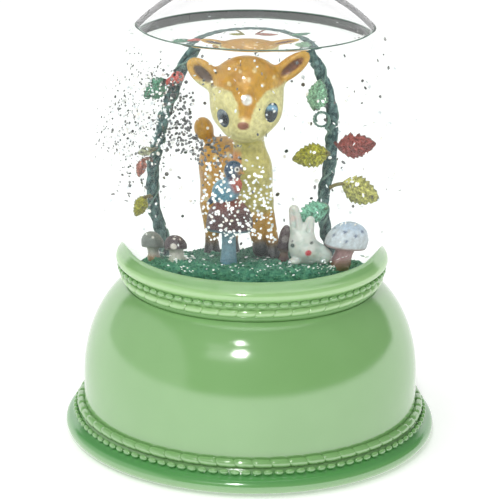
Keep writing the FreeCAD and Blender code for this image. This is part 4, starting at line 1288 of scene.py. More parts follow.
class Fawn(Figure):
    """The fawn: chest and big head to the front, its back and tail to the left behind."""

    def shape(self) -> Clay:
        """Returns the fawn's clay."""
        at = self.at
        lumps: list[Egg | Limb] = [
            Egg(at(-1.9, -5.0, 40.4), (8.8, 8.0, 7.5), GOLD, soft=2.2),
            Egg(at(-1.8, -7.0, 35.9), (8.5, 6.9, 6.9), GOLD, soft=2.2),
            Egg(at(-2.0, -9.4, 31.8), (4.8, 4.2, 3.4), CREAM, soft=2.4),
            Egg(at(-2.5, -12.6, 33.2), (2.5, 2.4, 1.9), CREAM, soft=2.0),
            Egg(at(8.3, -3.2, 44.9), (5.8, 1.6, 2.5), GOLD, tilt=38, yaw=8, soft=1.6),
            Egg(at(-11.9, -3.2, 43.1), (5.1, 1.6, 2.8), GOLD, tilt=-41, yaw=-8, soft=1.6),
            Limb(at(-1.4, -4.8, 30.0), at(-0.6, -4.0, 21.0), 3.4, 4.0, CREAM_SHADE, soft=2.5),
            Limb(at(-0.3, -3.6, 21.0), at(0.9, -3.4, 13.5), 4.1, 3.7, CREAM_SHADE, soft=2.5),
            Limb(at(-1.0, 0.0, 18.5), at(-6.4, 8.0, 19.6), 4.7, 5.4, GOLD, soft=3.0),
            Egg(at(-7.4, 7.4, 13.6), (4.0, 5.4, 7.6), GOLD, soft=2.5),
            Egg(at(-10.9, 9.0, 26.4), (2.1, 2.3, 2.7), GOLD, tilt=18, soft=1.5),
            Limb(at(2.2, -3.2, 13.0), at(4.4, -4.0, 4.0), 2.3, 1.6, GOLD, soft=0.9),
            Limb(at(-0.4, -4.7, 13.0), at(1.3, -5.5, 4.6), 2.5, 1.55, GOLD, soft=0.9),
            Limb(at(-8.4, 6.6, 10.0), at(-8.6, 6.8, 3.4), 2.9, 1.4, GOLD, soft=1.2),
            Limb(at(-4.2, 9.6, 10.0), at(-4.4, 10.4, 3.4), 2.8, 1.5, GOLD, soft=1.2),
            Limb(at(4.5, -4.2, 3.2), at(4.9, -5.0, 0.2), 1.55, 1.9, HOOF, soft=0.5),
            Limb(at(1.5, -5.9, 3.9), at(1.9, -6.9, 2.2), 1.5, 1.8, HOOF, soft=0.5),
            Limb(at(-8.6, 6.6, 2.6), at(-8.5, 6.0, 0.0), 1.4, 1.8, HOOF, soft=0.5),
            Limb(at(-4.4, 10.2, 2.6), at(-4.3, 9.8, 0.0), 1.4, 1.8, HOOF, soft=0.5)]
        dents = [
            Egg(at(8.9, -4.9, 45.4), (4.4, 1.5, 1.5), tilt=38, yaw=8, soft=0.6),
            Egg(at(-12.2, -4.9, 43.3), (3.8, 1.5, 1.7), tilt=-41, yaw=-8, soft=0.6),
            Egg(at(-7.9, -12.4, 34.6), (2.3, 1.6, 2.8), tilt=20, yaw=-38, soft=1.0),
            Egg(at(4.4, -11.8, 36.3), (2.3, 1.6, 2.8), tilt=-20, yaw=44, soft=1.0)]
        return Clay(lumps, dents)

    def paint(self, places: np.ndarray, under: np.ndarray) -> np.ndarray:
        """Paints the coat, the face, the ears, the spots and a painted highlight on the forehead.

        Args:
            places: x, y and rise of each place.
            under: The clay's own colours.

        Returns:
            The painted colours.
        """
        x, y, z = places.T
        wave = ripple(places, 6.0, 21)
        fine = ripple(places, 1.6, 22)
        coat = mixed(under, ORANGE, edge_of(0.0, 1.0, wave) * 0.25 * (z > 4))
        coat = mixed(coat, GOLD_DARK, edge_of(0.2, 1.1, -wave + 0.3 * fine) * 0.5 * (z > 4) * (x < 0))
        head = edge_of(27.5, 29.5, z) * (y < 1.5)
        middle = np.interp(z, [32.5, 41.0, 44.0], [-2.6, -1.5, -1.4])
        width = np.interp(z, [32.5, 36.0, 39.0, 41.5, 43.0], [1.0, 1.6, 2.4, 4.2, 9.0])
        cheek = edge_of(-0.35, 0.35, np.abs(x - middle) - width + 0.12 * fine)
        cheek *= 1 - edge_of(41.2, 42.4, z + 0.2 * fine)
        below = 1 - edge_of(31.4, 32.4, z)
        cream = np.clip(np.maximum(cheek, below), 0, 1) * head * (1 - edge_of(-2.5, 0.5, y))
        coat = mixed(coat, CREAM, cream)
        coat = mixed(coat, CREAM_SHADE, cream * edge_of(-0.1, 0.9, ripple(places, 5.0, 23)) * 0.55)
        chest = edge_of(-3.3, -2.5, x + 0.25 * fine) * edge_of(9.5, 12.5, z) * (1 - edge_of(28, 29, z))
        chest *= y < 3
        coat = mixed(coat, screen(206, 196, 108), chest * 0.95)
        coat = mixed(coat, screen(232, 222, 150), chest * edge_of(0.2, 1.0, ripple(places, 4.0, 24)) * 0.6)
        flank = (1 - chest) * spot(places, -4.0, 23.5, 2.0, 1.2) * (y < 0)
        coat = mixed(coat, screen(214, 120, 28), flank * 0.8)
        for ex, ez, tilt, half_x, half_z, tone in ((8.9, 45.4, 38, 3.7, 1.15, screen(128, 78, 48)),
                                                  (-12.2, 43.3, -41, 3.2, 1.4, screen(104, 84, 66))):
            u, v = leaned(x - ex, z - ez, tilt)
            away = np.hypot(u / half_x, v / half_z)
            ear = (1 - edge_of(0.7, 1.1, away)) * (y < -2.2)
            coat = mixed(coat, tone, ear)
            coat = mixed(coat, screen(70, 48, 40), ear * edge_of(0.0, 0.9, fine + 0.3) * 0.7)
            rim = edge_of(0.8, 1.2, away) * (away < 1.7) * (y < -2.0)
            coat = mixed(coat, screen(220, 178, 84), rim * (z > 42) * 0.5)
        nose = 1 - edge_of(0.8, 1.15, np.hypot((x + 2.6) / 1.5, (z - 33.6) / 1.0))
        coat = mixed(coat, screen(150, 96, 70), nose * (y < -12))
        # painted highlight: a round white mark on the forehead stands for the lamp's reflection
        face = (y < -4).astype(float)
        coat = mixed(coat, WHITE, spot(places, -1.8, 39.7, 1.25) * face)
        for sx, sz, size in ((-6.2, 43.2, 0.5), (2.0, 43.0, 0.45), (0.0, 46.2, 0.5), (-1.4, 44.4, 0.5),
                             (-3.6, 46.0, 0.35), (4.6, 44.2, 0.35)):
            coat = mixed(coat, screen(236, 214, 160), spot(places, sx, sz, size, 0.15) * (y < 3) * 0.85)
        for sx, sz in ((-8.4, 21.5), (-6.2, 18.8), (-9.8, 17.0), (-7.6, 14.2), (-5.6, 22.6), (-10.2, 12.0)):
            dot = spot(places, sx, sz, 0.55, 0.2) * (y < 8) * (x < -3.4)
            coat = mixed(coat, screen(240, 226, 180), dot * 0.8)
        return coat * (1 - 0.10 * edge_of(0.2, 1.2, fine))[:, None]

    def eye(self, clay: Clay, eye: Eye) -> Piece:
        """Sets an eye in its hollow: a dark oval with a lighter top and three painted highlights.

        Args:
            clay: The head it is set in.
            eye: The eye.

        Returns:
            The eye's piece.
        """
        y = clay.front(eye.x, self.ground + eye.rise) + 0.15
        ball = Egg(self.at(eye.x, y, eye.rise), (eye.wide, 1.15, eye.tall), eye.tone,
                   tilt=eye.tilt, yaw=eye.yaw, soft=0.2)

        def paint(places: np.ndarray, under: np.ndarray) -> np.ndarray:
            """Paints the iris and its painted highlights."""
            u, v = leaned(places[:, 0] - eye.x, places[:, 2] - eye.rise, eye.tilt)
            top = edge_of(0.6, 1.6, v) * (1 - edge_of(1.9, 2.6, np.hypot(u * 1.3, v)))
            pupil = 1 - edge_of(0.5, 0.9, np.hypot(u / 1.2, (v + 0.3) / 1.8))
            colours = mixed(mixed(under, eye.pale, top), screen(10, 26, 34), pupil)
            # painted highlights: white dots that stand for the lamp's reflections on the glossy eye
            for du, dv, size in ((0.7, 0.9, 0.36), (-0.6, -1.35, 0.24), (0.15, 1.5, 0.2)):
                light = 1 - edge_of(size * 0.7, size * 1.1, np.hypot(u - du, v - dv))
                colours = mixed(colours, WHITE, light * eye.lights)
            return colours
        room = 3.5
        low = (eye.x - room, y - room, eye.rise - room)
        high = (eye.x + room, y + room, eye.rise + room)
        return self.cast(eye.name, Clay([ball]), low, high, 0.13, paint)

    def build(self, coat: Finish, gloss: Finish) -> None:
        """Builds and dresses the fawn and its eyes.

        Args:
            coat: The painted coat.
            gloss: The eyes' shiny paint.
        """
        clay = self.shape()
        body = self.cast("painted_fawn", clay, (-19, -18, -2.6), (16, 17, 52), 0.36, self.paint)
        settle(body, Slot.FAWN, "fawn", finish=coat)
        # painted reflection: the left eye's grey tones stand for glare over its dark paint, and its painted
        # highlights are almost off, while the right eye has full painted highlights
        painted_glare_tone, grey, blue = screen(70, 84, 94), screen(112, 124, 130), screen(120, 172, 204)
        for eye in (Eye("fawn_eye_left", -7.2, 34.7, 1.8, 2.7, 24, -38, 0.1, painted_glare_tone, grey),
                    Eye("fawn_eye_right", 3.9, 35.6, 2.2, 3.2, -16, 38, 1.0, INK, blue)):
            settle(self.eye(clay, eye), Slot.FAWN, finish=gloss)


class Songbird(Figure):
    """The small bird that sits on the red mushroom and looks to the right."""

    def build(self, paint: Finish) -> None:
        """Builds and dresses the bird.

        Args:
            paint: Its finish.
        """
        at = self.at
        navy, sky, teal = screen(34, 74, 104), screen(112, 172, 194), screen(70, 132, 152)
        clay = Clay([
            Egg(at(-6.5, -16.6, 17.9), (3.6, 3.0, 3.1), sky, tilt=32, soft=1.2),
            Egg(at(-4.8, -17.4, 23.2), (2.3, 2.3, 2.35), navy, soft=1.2),
            Egg(at(-4.2, -18.0, 19.6), (1.6, 1.6, 1.9), screen(192, 82, 42), soft=0.8),
            Egg(at(-7.5, -18.6, 18.0), (2.5, 0.9, 1.5), teal, tilt=38, soft=0.3),
            Limb(at(-8.4, -15.8, 16.6), at(-10.4, -14.2, 14.4), 1.2, 0.6, navy, soft=0.8),
            Limb(at(-3.2, -19.0, 23.1), at(-2.1, -19.8, 22.8), 0.55, 0.12, screen(206, 150, 60), soft=0.2),
            Limb(at(-6.6, -17.0, 16.0), at(-6.4, -17.2, 14.4), 0.35, 0.3, screen(120, 80, 60), soft=0.2),
            Limb(at(-5.2, -17.2, 16.0), at(-5.0, -17.4, 14.4), 0.35, 0.3, screen(120, 80, 60), soft=0.2)])

        def coat(places: np.ndarray, under: np.ndarray) -> np.ndarray:
            """Adds feathers' bars and the eye."""
            bars = edge_of(0.2, 0.8, np.sin(places[:, 0] * 5.2 - places[:, 2] * 4.4))
            bars = bars * 0.35 * (places[:, 0] < -5.6) * (places[:, 2] < 21) * (places[:, 1] < -17.5)
            colours = mixed(under, navy, bars)
            ring = spot(places, -4.0, 23.8, 0.62, 0.08) * (places[:, 1] < -17)
            pupil = spot(places, -3.95, 23.8, 0.34, 0.06) * (places[:, 1] < -17)
            return mixed(mixed(colours, WHITE, ring), screen(12, 16, 20), pupil)
        bird = self.cast("painted_songbird", clay, (-12, -22, 13.4), (-1, -12, 27), 0.2, coat)
        settle(bird, Slot.BIRD, "songbird", finish=paint)


class Rabbit(Figure):
    """The small white rabbit that sits at the right."""

    def build(self, paint: Finish) -> None:
        """Builds and dresses the rabbit.

        Args:
            paint: Its finish.
        """
        at = self.at
        white, cool = screen(206, 212, 204), screen(184, 198, 190)
        clay = Clay([
            Egg(at(12.2, -14.8, 4.0), (3.5, 3.3, 3.9), white, soft=1.4),
            Egg(at(13.6, -17.0, 2.6), (2.1, 1.6, 1.7), white, soft=1.0),
            Egg(at(14.0, -13.2, 1.6), (4.4, 3.4, 3.4), cool, soft=1.6),
            Egg(at(17.3, -13.8, 0.9), (2.3, 2.2, 2.3), cool, soft=0.7),
            Egg(at(10.4, -16.2, -0.2), (1.6, 1.8, 1.2), white, soft=0.6),
            Limb(at(11.0, -14.6, 6.4), at(9.9, -14.3, 12.9), 1.9, 1.25, white, soft=1.0),
            Limb(at(13.2, -14.6, 6.4), at(13.9, -14.3, 10.3), 1.7, 1.1, white, soft=1.0)],
            [Egg(at(9.8, -15.9, 11.2), (0.55, 0.7, 2.6), tilt=9, soft=0.4),
             Egg(at(13.7, -15.8, 9.2), (0.5, 0.7, 1.9), tilt=-9, soft=0.4)])

        def coat(places: np.ndarray, under: np.ndarray) -> np.ndarray:
            """Paints the ears' insides, the eyes and the nose."""
            front = (places[:, 1] < -14.6).astype(float)
            colours = mixed(under, screen(160, 182, 172), edge_of(0.1, 1.0, ripple(places, 2.4, 31)) * 0.5)
            colours = mixed(colours, screen(224, 186, 176), front * spot(places, 9.8, 11.0, 0.7, 0.4) * 0.6)
            colours = mixed(colours, screen(28, 62, 50), front * spot(places, 9.9, 4.3, 0.55, 0.12))
            colours = mixed(colours, screen(24, 54, 46), front * spot(places, 14.6, 4.9, 0.42, 0.12) * 0.8)
            return mixed(colours, screen(196, 44, 58), front * spot(places, 14.0, 2.3, 0.8, 0.15))
        rabbit = self.cast("painted_rabbit", clay, (6, -21, -2.4), (21, -8, 16), 0.24, coat)
        settle(rabbit, Slot.RABBIT, "rabbit", finish=paint)


@dataclass
class Toadstool:
    """A mushroom with a domed cap, gills and a flared stem. Sizes in mm."""

    name: str
    node: str
    slot: Slot
    place: Point
    stem_radius: float
    stem_height: float
    cap_radius: float
    cap_height: float
    cap: Colour
    cap_edge: Colour
    stem: Colour
    foot: Colour
    lean: float = 0.0
    dots: tuple[tuple[float, float, float], ...] = ()
    dot_colour: Colour = (0.85, 0.85, 0.8)

    def build(self, ground: float, paint: Finish) -> None:
        """Builds and dresses the mushroom.

        Args:
            ground: The mound's top in mm.
            paint: Its finish.
        """
        brim = self.stem_height + self.cap_height * 0.12
        under = self.stem_height - self.cap_height * 0.12
        s, c = self.stem_radius, self.cap_radius
        stem = [(0.0, -2.0), (s * 1.28, -2.0), (s * 1.22, 0.2), (s * 1.02, self.stem_height * 0.3),
                (s * 0.94, self.stem_height * 0.6), (s, under + 0.3)]
        gills = [(s + (c - s) * k / 6, under + 0.3 - 0.5 * math.sin(math.pi * k / 6) * c / 6)
                 for k in range(1, 6)]
        lip = [(c * 0.97, under), (c * 1.01, under + (brim - under) * 0.5)]
        dome = [(c * math.cos(a), brim + self.cap_height * math.sin(a))
                for a in np.radians(np.linspace(0, 90, 22))]
        dome[-1] = (0.0, dome[-1][1])
        points, faces = turned(stem + gills + lip + dome, 72)
        reach = np.hypot(points[:, 0], points[:, 1])
        angle = np.arctan2(points[:, 1], points[:, 0])
        gill = (reach > s * 1.05) & (reach < c * 0.95)
        gill &= (points[:, 2] < under + 0.4) & (points[:, 2] > under - 1.0)
        points[:, 2] += np.where(gill, 0.14 * np.sin(angle * 36), 0)
        uneven = 1 + 0.03 * np.sin(angle * 3 + 1) + 0.02 * ripple(points, 3.0, 41)
        points[:, :2] *= uneven[:, None]
        cap = points[:, 2] > under + 0.25
        colours = np.tile(np.array(self.stem), (len(points), 1))
        colours = mixed(colours, self.foot, 1 - edge_of(0.0, self.stem_height * 0.55, points[:, 2]))
        colours = mixed(colours, tuple(0.75 * v for v in self.stem), gill * 1.0)
        tops = mixed(np.tile(np.array(self.cap), (len(points), 1)), self.cap_edge,
                     edge_of(0.55, 1.0, reach / c) * 0.9)
        tops = mixed(tops, self.cap_edge, edge_of(0.2, 1.0, ripple(points, 2.6, 42)) * 0.5)
        colours = np.where((cap & (reach > s * 1.1) | (points[:, 2] > brim))[:, None], tops, colours)
        for turn, height, size in self.dots:
            a = math.radians(turn)
            ring = math.sqrt(max(0.0, 1 - height ** 2)) * c
            spot_at = np.array((ring * math.cos(a), ring * math.sin(a), brim + height * self.cap_height))
            away = np.linalg.norm(points - spot_at, axis=1)
            colours = mixed(colours, self.dot_colour, 1 - edge_of(size * 0.8, size * 1.2, away))
        x, y, rise = self.place
        piece = solid(self.name, moved(points, (x, y, ground + rise), self.lean), faces, colours)
        settle(piece, self.slot, self.node, finish=paint)


def toadstools() -> list[Toadstool]:
    """The five mushrooms, from the front one to the one at the far left.

    Returns:
        The mushrooms.
    """
    plum, wine = screen(66, 44, 46), screen(128, 58, 40)
    many = tuple((turn, height, 0.5) for turn, height in (
        (-60, 0.5), (-100, 0.6), (-130, 0.35), (-30, 0.7), (-85, 0.2),
        (-155, 0.6), (60, 0.5), (110, 0.4), (170, 0.3), (20, 0.3)))
    return [
        Toadstool("red_toadstool", "red_mushroom", Slot.RED_CAP, (-5.7, -16.0, -1.0), 1.8, 9.6, 5.6, 6.8,
                  wine, plum, screen(118, 160, 176), screen(84, 132, 150)),
        Toadstool("tall_toadstool", "tall_mushroom", Slot.PLUM_CAP, (7.4, -9.0, 0.2), 1.0, 2.6, 1.75, 5.0,
                  screen(104, 88, 90), screen(62, 46, 52), screen(150, 120, 100), screen(100, 62, 58), 4,
                  ((-90, 0.35, 0.9), (-70, 0.8, 0.4)), screen(136, 128, 126)),
        Toadstool("blue_toadstool", "blue_mushroom", Slot.BLUE_CAP, (21.4, -10.5, -2.0), 2.7, 5.2, 5.7, 5.6,
                  screen(178, 200, 220), screen(206, 216, 222), screen(196, 146, 148), screen(112, 72, 60),
                  14, many, screen(96, 112, 140)),
        Toadstool("brown_toadstool", "brown_mushroom", Slot.BROWN_CAP, (-17.8, -10.0, -1.0),
                  1.9, 3.2, 2.8, 2.9,
                  screen(74, 56, 58), screen(56, 40, 44), screen(204, 204, 192), screen(178, 184, 168), -8,
                  ((-105, 0.1, 0.8), (-95, 0.75, 0.35), (-50, 0.65, 0.3), (-70, 0.95, 0.25)),
                  screen(226, 222, 212)),
        Toadstool("grey_toadstool", "grey_mushroom", Slot.GREY_CAP, (-22.8, -4.0, -1.4), 1.5, 3.2, 2.8, 3.2,
                  screen(124, 132, 120), screen(96, 108, 100), screen(176, 182, 166), screen(146, 108, 78),
                  -5, ((-90, 0.6, 0.35),), screen(226, 226, 214))]


# --- the arch of vine and what grows on it
def smooth_path(places: Sequence[Point], each: int) -> np.ndarray:
    """A smooth way through places.

    Args:
        places: The places in mm.
        each: How many steps lie between two of them.

    Returns:
        Close places along the way.
    """
    known = np.array(places, dtype=float)
    full = np.vstack([2 * known[0] - known[1], known, 2 * known[-1] - known[-2]])
    way = []
    for k in range(len(known) - 1):
        a, b, c, d = full[k:k + 4]
        for t in np.arange(each) / each:
            way.append(0.5 * (2 * b + (c - a) * t + (2 * a - 5 * b + 4 * c - d) * t ** 2
                       + (3 * b - a - 3 * c + d) * t ** 3))
    way.append(known[-1])
    return np.array(way)


def wire_of(name: str, way: np.ndarray) -> Piece:
    """A curve object along close places given in mm."""
    curve = bpy.data.curves.new(name, "CURVE")
    curve.dimensions = "3D"
    spline = curve.splines.new("POLY")
    spline.points.add(len(way) - 1)
    spline.points.foreach_set("co", np.hstack([way * MM, np.ones((len(way), 1))]).astype(np.float32).ravel())
    return placed(name, curve)


def tube(way: np.ndarray, radii: np.ndarray, sides: int) -> Mesh:
    """A closed tube along a way.

    Args:
        way: Its middle line in mm.
        radii: Its radius at each place.
        sides: How many sides it has.

    Returns:
        Places and faces that point outwards.
    """
    points = []
    up = np.array((0.0, 0.0, 1.0))
    for k, middle in enumerate(way):
        along = way[min(k + 1, len(way) - 1)] - way[max(k - 1, 0)]
        along = along / np.linalg.norm(along)
        up = up - along * (up @ along)
        if np.linalg.norm(up) < 0.1:
            up = np.array((0.0, 1.0, 0.0)) - along * along[1]
        up = up / np.linalg.norm(up)
        over = np.cross(along, up)
        for a in np.arange(sides) * 2 * math.pi / sides:
            points.append(middle + radii[k] * (math.cos(a) * up + math.sin(a) * over))
    last = (len(way) - 1) * sides
    faces = [list(range(sides))[::-1], list(range(last, last + sides))]
    for k in range(len(way) - 1):
        for s in range(sides):
            low, after = k * sides + s, k * sides + (s + 1) % sides
            faces.append([low, after, after + sides, low + sides])
    return np.array(points), faces


@dataclass
class Vine:
    """The arch: strands twisted over a wire, with a thin light thread round them. Sizes in mm."""

    reach: float = 20.0
    back: float = 5.0
    strand: float = 0.82
    thread: float = 0.24
    ground: float = field(default_factory=lambda: top_of("ground_mound"))
    height: float = field(default_factory=lambda: top_of("liquid_fill") - 6.5 - top_of("ground_mound"))

    def at(self, x: float, y: float, share: float) -> Point:
        """A place by its share of the arch's height."""
        return (x, y, self.ground + share * self.height)

    def way(self) -> np.ndarray:
        """Returns the arch's middle line."""
        shares = (
            (-0.88, -0.07, 0), (-0.97, 0.07, 0), (-1.08, 0.2, 0), (-1.1, 0.34, 0), (-1.04, 0.49, 0),
            (-0.93, 0.65, 0.4), (-0.73, 0.83, 1.2), (-0.4, 0.96, 2.2), (0.02, 1.0, 3.0), (0.37, 0.95, 2.4),
            (0.64, 0.83, 1.2), (0.8, 0.7, 0.4), (0.87, 0.56, 0), (0.84, 0.38, 0), (0.76, 0.19, -0.4),
            (0.82, 0.06, -0.6), (0.84, -0.07, -0.6))
        return smooth_path([self.at(x * self.reach, self.back + y, z) for x, z, y in shares], 14)

    def build(self, bark: Finish, pale: Finish, berry: Finish) -> None:
        """Builds and dresses the arch, its thread, the tendril and the berry.

        Args:
            bark: The strands' finish.
            pale: The thread's finish.
            berry: The berry's finish.
        """
        twist = twist_tree()
        way = self.way()
        arch = twist.grow(wire_of("arch_line", way), "vine_strands", Strands=3, Turns=9.0, Samples=260,
                          Strand_Radius=self.strand * MM, Twist_Radius=0.62 * MM, Material=bark)
        settle(arch, Slot.VINE, "vine_arch")
        thread = twist.grow(wire_of("thread_line", way), "vine_thread", Strands=1, Turns=12.5, Samples=360,
                            Strand_Radius=self.thread * MM, Twist_Radius=1.36 * MM, Material=pale)
        settle(thread, Slot.VINE)
        turns = np.linspace(-1.1, 2 * math.pi * 1.6, 70)
        loop = np.stack([15.2 + (1.9 - 0.05 * turns) * np.cos(turns), 2.4 + 0.16 * turns,
                         self.at(0, 0, 0.57)[2] + (1.9 - 0.05 * turns) * np.sin(turns)], axis=1)
        x, y, z = loop[0]
        lead = smooth_path([(17.2, 5.0, z - 3.0), (17.2, 3.6, z - 1.4), (x, y, z)], 8)[:-1]
        curl = wire_of("tendril_line", np.vstack([lead, loop]))
        tendril = twist.grow(curl, "vine_curl", Strands=2, Turns=17.0, Samples=190,
                             Strand_Radius=0.17 * MM, Twist_Radius=0.12 * MM, Material=pale)
        settle(tendril, Slot.VINE, "vine_tendril")
        self.berry(berry)

    def berry(self, finish: Finish) -> None:
        """Builds the red berry and its stem.

        Args:
            finish: Its finish.
        """
        x, y, z = self.at(-17.6, 3.2, 0.745)
        red, dark = screen(190, 75, 62), screen(112, 42, 40)
        clay = Clay([Egg((x, y, z), (1.55, 1.45, 1.45), red, soft=0.7),
                     Egg((x - 1.6, y, z - 1.2), (1.15, 1.1, 1.1), red, soft=0.7),
                     Limb((x + 0.4, y + 0.6, z + 0.6), (-17.0, 5.6, z + 0.2), 0.4, 0.35, dark, soft=0.4)])
        points, faces = clay.skin((x - 4, y - 3, z - 4), (x + 3, y + 4.5, z + 3), 0.16)
        blush = edge_of(0.2, 1.1, ripple(points, 1.4, 51)) * 0.6
        colours = mixed(clay.colours(points), screen(226, 128, 104), blush)
        settle(solid("berry_pair", points, faces, colours), Slot.BERRY, "berry_red", finish=finish)


@dataclass
class Leaf:
    """A stiff cut-felt leaf with teeth, ribs and a stem that reaches the vine. Sizes in mm."""

    name: str
    slot: Slot
    place: Point
    length: float
    width: float
    turn: float
    yaw: float
    joint: Point
    finish: WoolFelt
    thick: float = 0.6
    steps: int = 30
    across: int = 14

    def axes(self, vine: Vine) -> tuple[np.ndarray, np.ndarray, np.ndarray, np.ndarray, np.ndarray]:
        """Returns the middle, the joint, and the ways along, across and out of the leaf."""
        middle, joint = np.array(vine.at(*self.place)), np.array(vine.at(*self.joint))
        turn, yaw = math.radians(self.turn), math.radians(self.yaw)
        along = np.array((math.cos(turn) * math.cos(yaw), math.cos(turn) * math.sin(yaw), math.sin(turn)))
        if along @ (middle - joint) < 0:
            along = -along
        out = np.array((math.sin(yaw), -math.cos(yaw), 0.0))
        return middle, joint, along, np.cross(out, along), out

    def build(self, vine: Vine) -> None:
        """Builds and dresses the leaf.

        Args:
            vine: The arch that it hangs on.
        """
        middle, joint, along, side, out = self.axes(vine)
        s = np.linspace(0, 1, self.steps + 1)
        half = 0.5 * self.width * np.sin(np.pi * (0.02 + 0.96 * s) ** 0.82) ** 0.85
        half *= 1 + 0.26 * (((s * 8) % 1) - 0.5) * (s > 0.08) * (s < 0.95)
        v = np.linspace(-1, 1, self.across + 1)
        place_s, place_v = np.meshgrid(s, v, indexing="ij")
        reach = place_v * half[:, None]
        arched = 0.10 * self.length * np.sin(np.pi * place_s)
        lift = arched - 0.9 * (np.abs(place_v) ** 1.6) * half[:, None] * 0.42
        lift = lift + 0.12 * np.sin(place_s * 17 + place_v * 3)
        flat = (middle + (place_s - 0.5)[..., None] * self.length * along + reach[..., None] * side
                + lift[..., None] * out).reshape(-1, 3)
        normal = out * self.thick / 2
        count = len(flat)
        points = np.vstack([flat + normal, flat - normal])
        wide = self.across + 1
        faces = []
        for a in range(self.steps):
            for b in range(self.across):
                k = a * wide + b
                faces.append([k, k + wide, k + wide + 1, k + 1])
                faces.append([count + k, count + k + 1, count + k + wide + 1, count + k + wide])
        rim = [a * wide for a in range(self.steps + 1)] + [self.steps * wide + b for b in range(1, wide)]
        rim += [a * wide + self.across for a in range(self.steps - 1, -1, -1)]
        rim += list(range(self.across - 1, 0, -1))
        for one, two in zip(rim, rim[1:] + rim[:1]):
            faces.append([two, one, one + count, two + count])
        rib = (np.abs(reach) < 0.16 + 0.012 * self.length).astype(float)
        veins = (np.abs((place_s * 6 - np.abs(place_v) * 1.2) % 1 - 0.5) > 0.40) * (np.abs(place_v) < 0.92)
        shade = (1 - 0.34 * rib) * (1 - 0.22 * veins) * (1 - 0.25 * (np.abs(place_v) > 0.95))
        tone = np.repeat(np.tile(shade.reshape(-1), 2)[:, None], 3, axis=1)
        foot = middle - along * self.length * 0.47 + out * 0.05
        bend = 0.45 * foot + 0.55 * joint + np.array((0, 0, 0.5))
        stem = smooth_path([tuple(foot + along * 1.0), tuple(foot), tuple(bend), tuple(joint)], 6)
        more, more_faces = tube(stem, np.full(len(stem), 0.42), 8)
        faces += [[c + len(points) for c in face] for face in more_faces]
        tone = np.vstack([tone, np.tile((0.5, 0.42, 0.34), (len(more), 1))])
        leaf = solid(self.name.replace("leaf_", "felt_leaf_"), np.vstack([points, more]), faces, tone)
        settle(leaf, self.slot, self.name, finish=self.finish.make())


def leaves() -> list[Leaf]:
    """The twelve leaves, down the left side, down the right side and over the top.

    Returns:
        The leaves.
    """
    def felt(name: str, colour: Colour, share: float = 0.38) -> WoolFelt:
        """Felt of one colour with a darker second tone."""
        return WoolFelt(name, colour, tuple(share * c for c in colour))
    green, teal = felt("green_felt", screen(142, 190, 156)), felt("teal_felt", screen(136, 208, 172))
    pink, russet = felt("pink_felt", screen(196, 128, 112)), felt("russet_felt", screen(150, 70, 62))
    olive, yellow = felt("olive_felt", screen(168, 166, 44)), felt("yellow_felt", screen(188, 186, 100))
    pale = felt("pale_felt", screen(190, 196, 160))
    deep = felt("dark_green_felt", screen(92, 150, 122))
    return [
        Leaf("leaf_green_left", Slot.LEAF_GREEN, (-22.4, 4, 0.685), 6.4, 5.0, 35, 10, (-18.6, 5, 0.66), deep),
        Leaf("leaf_pink_left", Slot.LEAF_RED, (-25.4, 0.5, 0.36), 4.2, 2.4, 75, 15, (-22, 5, 0.37), pink),
        Leaf("leaf_pale_left", Slot.LEAF_RED, (-24.4, 2, 0.425), 3.6, 2.0, 15, -10, (-21.6, 5, 0.41), pale),
        Leaf("leaf_olive_left", Slot.LEAF_OLIVE, (-25.2, 0.5, 0.195), 5.0, 3.4, 60, 20,
             (-21.6, 5, 0.215), olive),
        Leaf("leaf_green_right", Slot.LEAF_GREEN, (14.4, 2.4, 0.68), 7.6, 4.8, 80, -10,
             (16.6, 5, 0.66), green),
        Leaf("leaf_olive_right", Slot.LEAF_OLIVE, (12.8, 0, 0.425), 8.2, 5.4, 10, 8, (16.8, 5, 0.40), olive),
        Leaf("leaf_russet_right", Slot.LEAF_RED, (23.3, 2, 0.465), 9.2, 5.6, 8, -12, (17.2, 5, 0.46), russet),
        Leaf("leaf_yellow_right", Slot.LEAF_OLIVE, (24.4, 0, 0.275), 9.4, 6.2, -22, -10,
             (16, 5, 0.26), yellow),
        Leaf("leaf_teal_low", Slot.LEAF_GREEN, (13.6, -6, 0.2), 8.0, 5.0, 18, 12, (15.4, 4.6, 0.2), teal),
        Leaf("leaf_top_left", Slot.LEAF_OLIVE, (-5.6, 2, 0.93), 5.0, 2.8, -20, 20, (-6, 7, 0.97), olive),
        Leaf("leaf_top_mid", Slot.LEAF_RED, (3.4, 3, 0.92), 7.0, 3.4, 10, -15, (3.4, 8, 0.98), pink),
        Leaf("leaf_top_right", Slot.LEAF_GREEN, (13.6, 4, 0.92), 6.5, 3.6, 30, 10, (11, 6, 0.88), deep)]


# --- the glitter
FACING = 1.57


@dataclass(frozen=True)
class Drift:
    """A cloud of flakes: its box in mm, their number and size, how far they tilt and which way they face."""

    low: Point
    high: Point
    count: int
    size: float = 1.0
    tilt: float = 3.1
    facing: float = 0.0


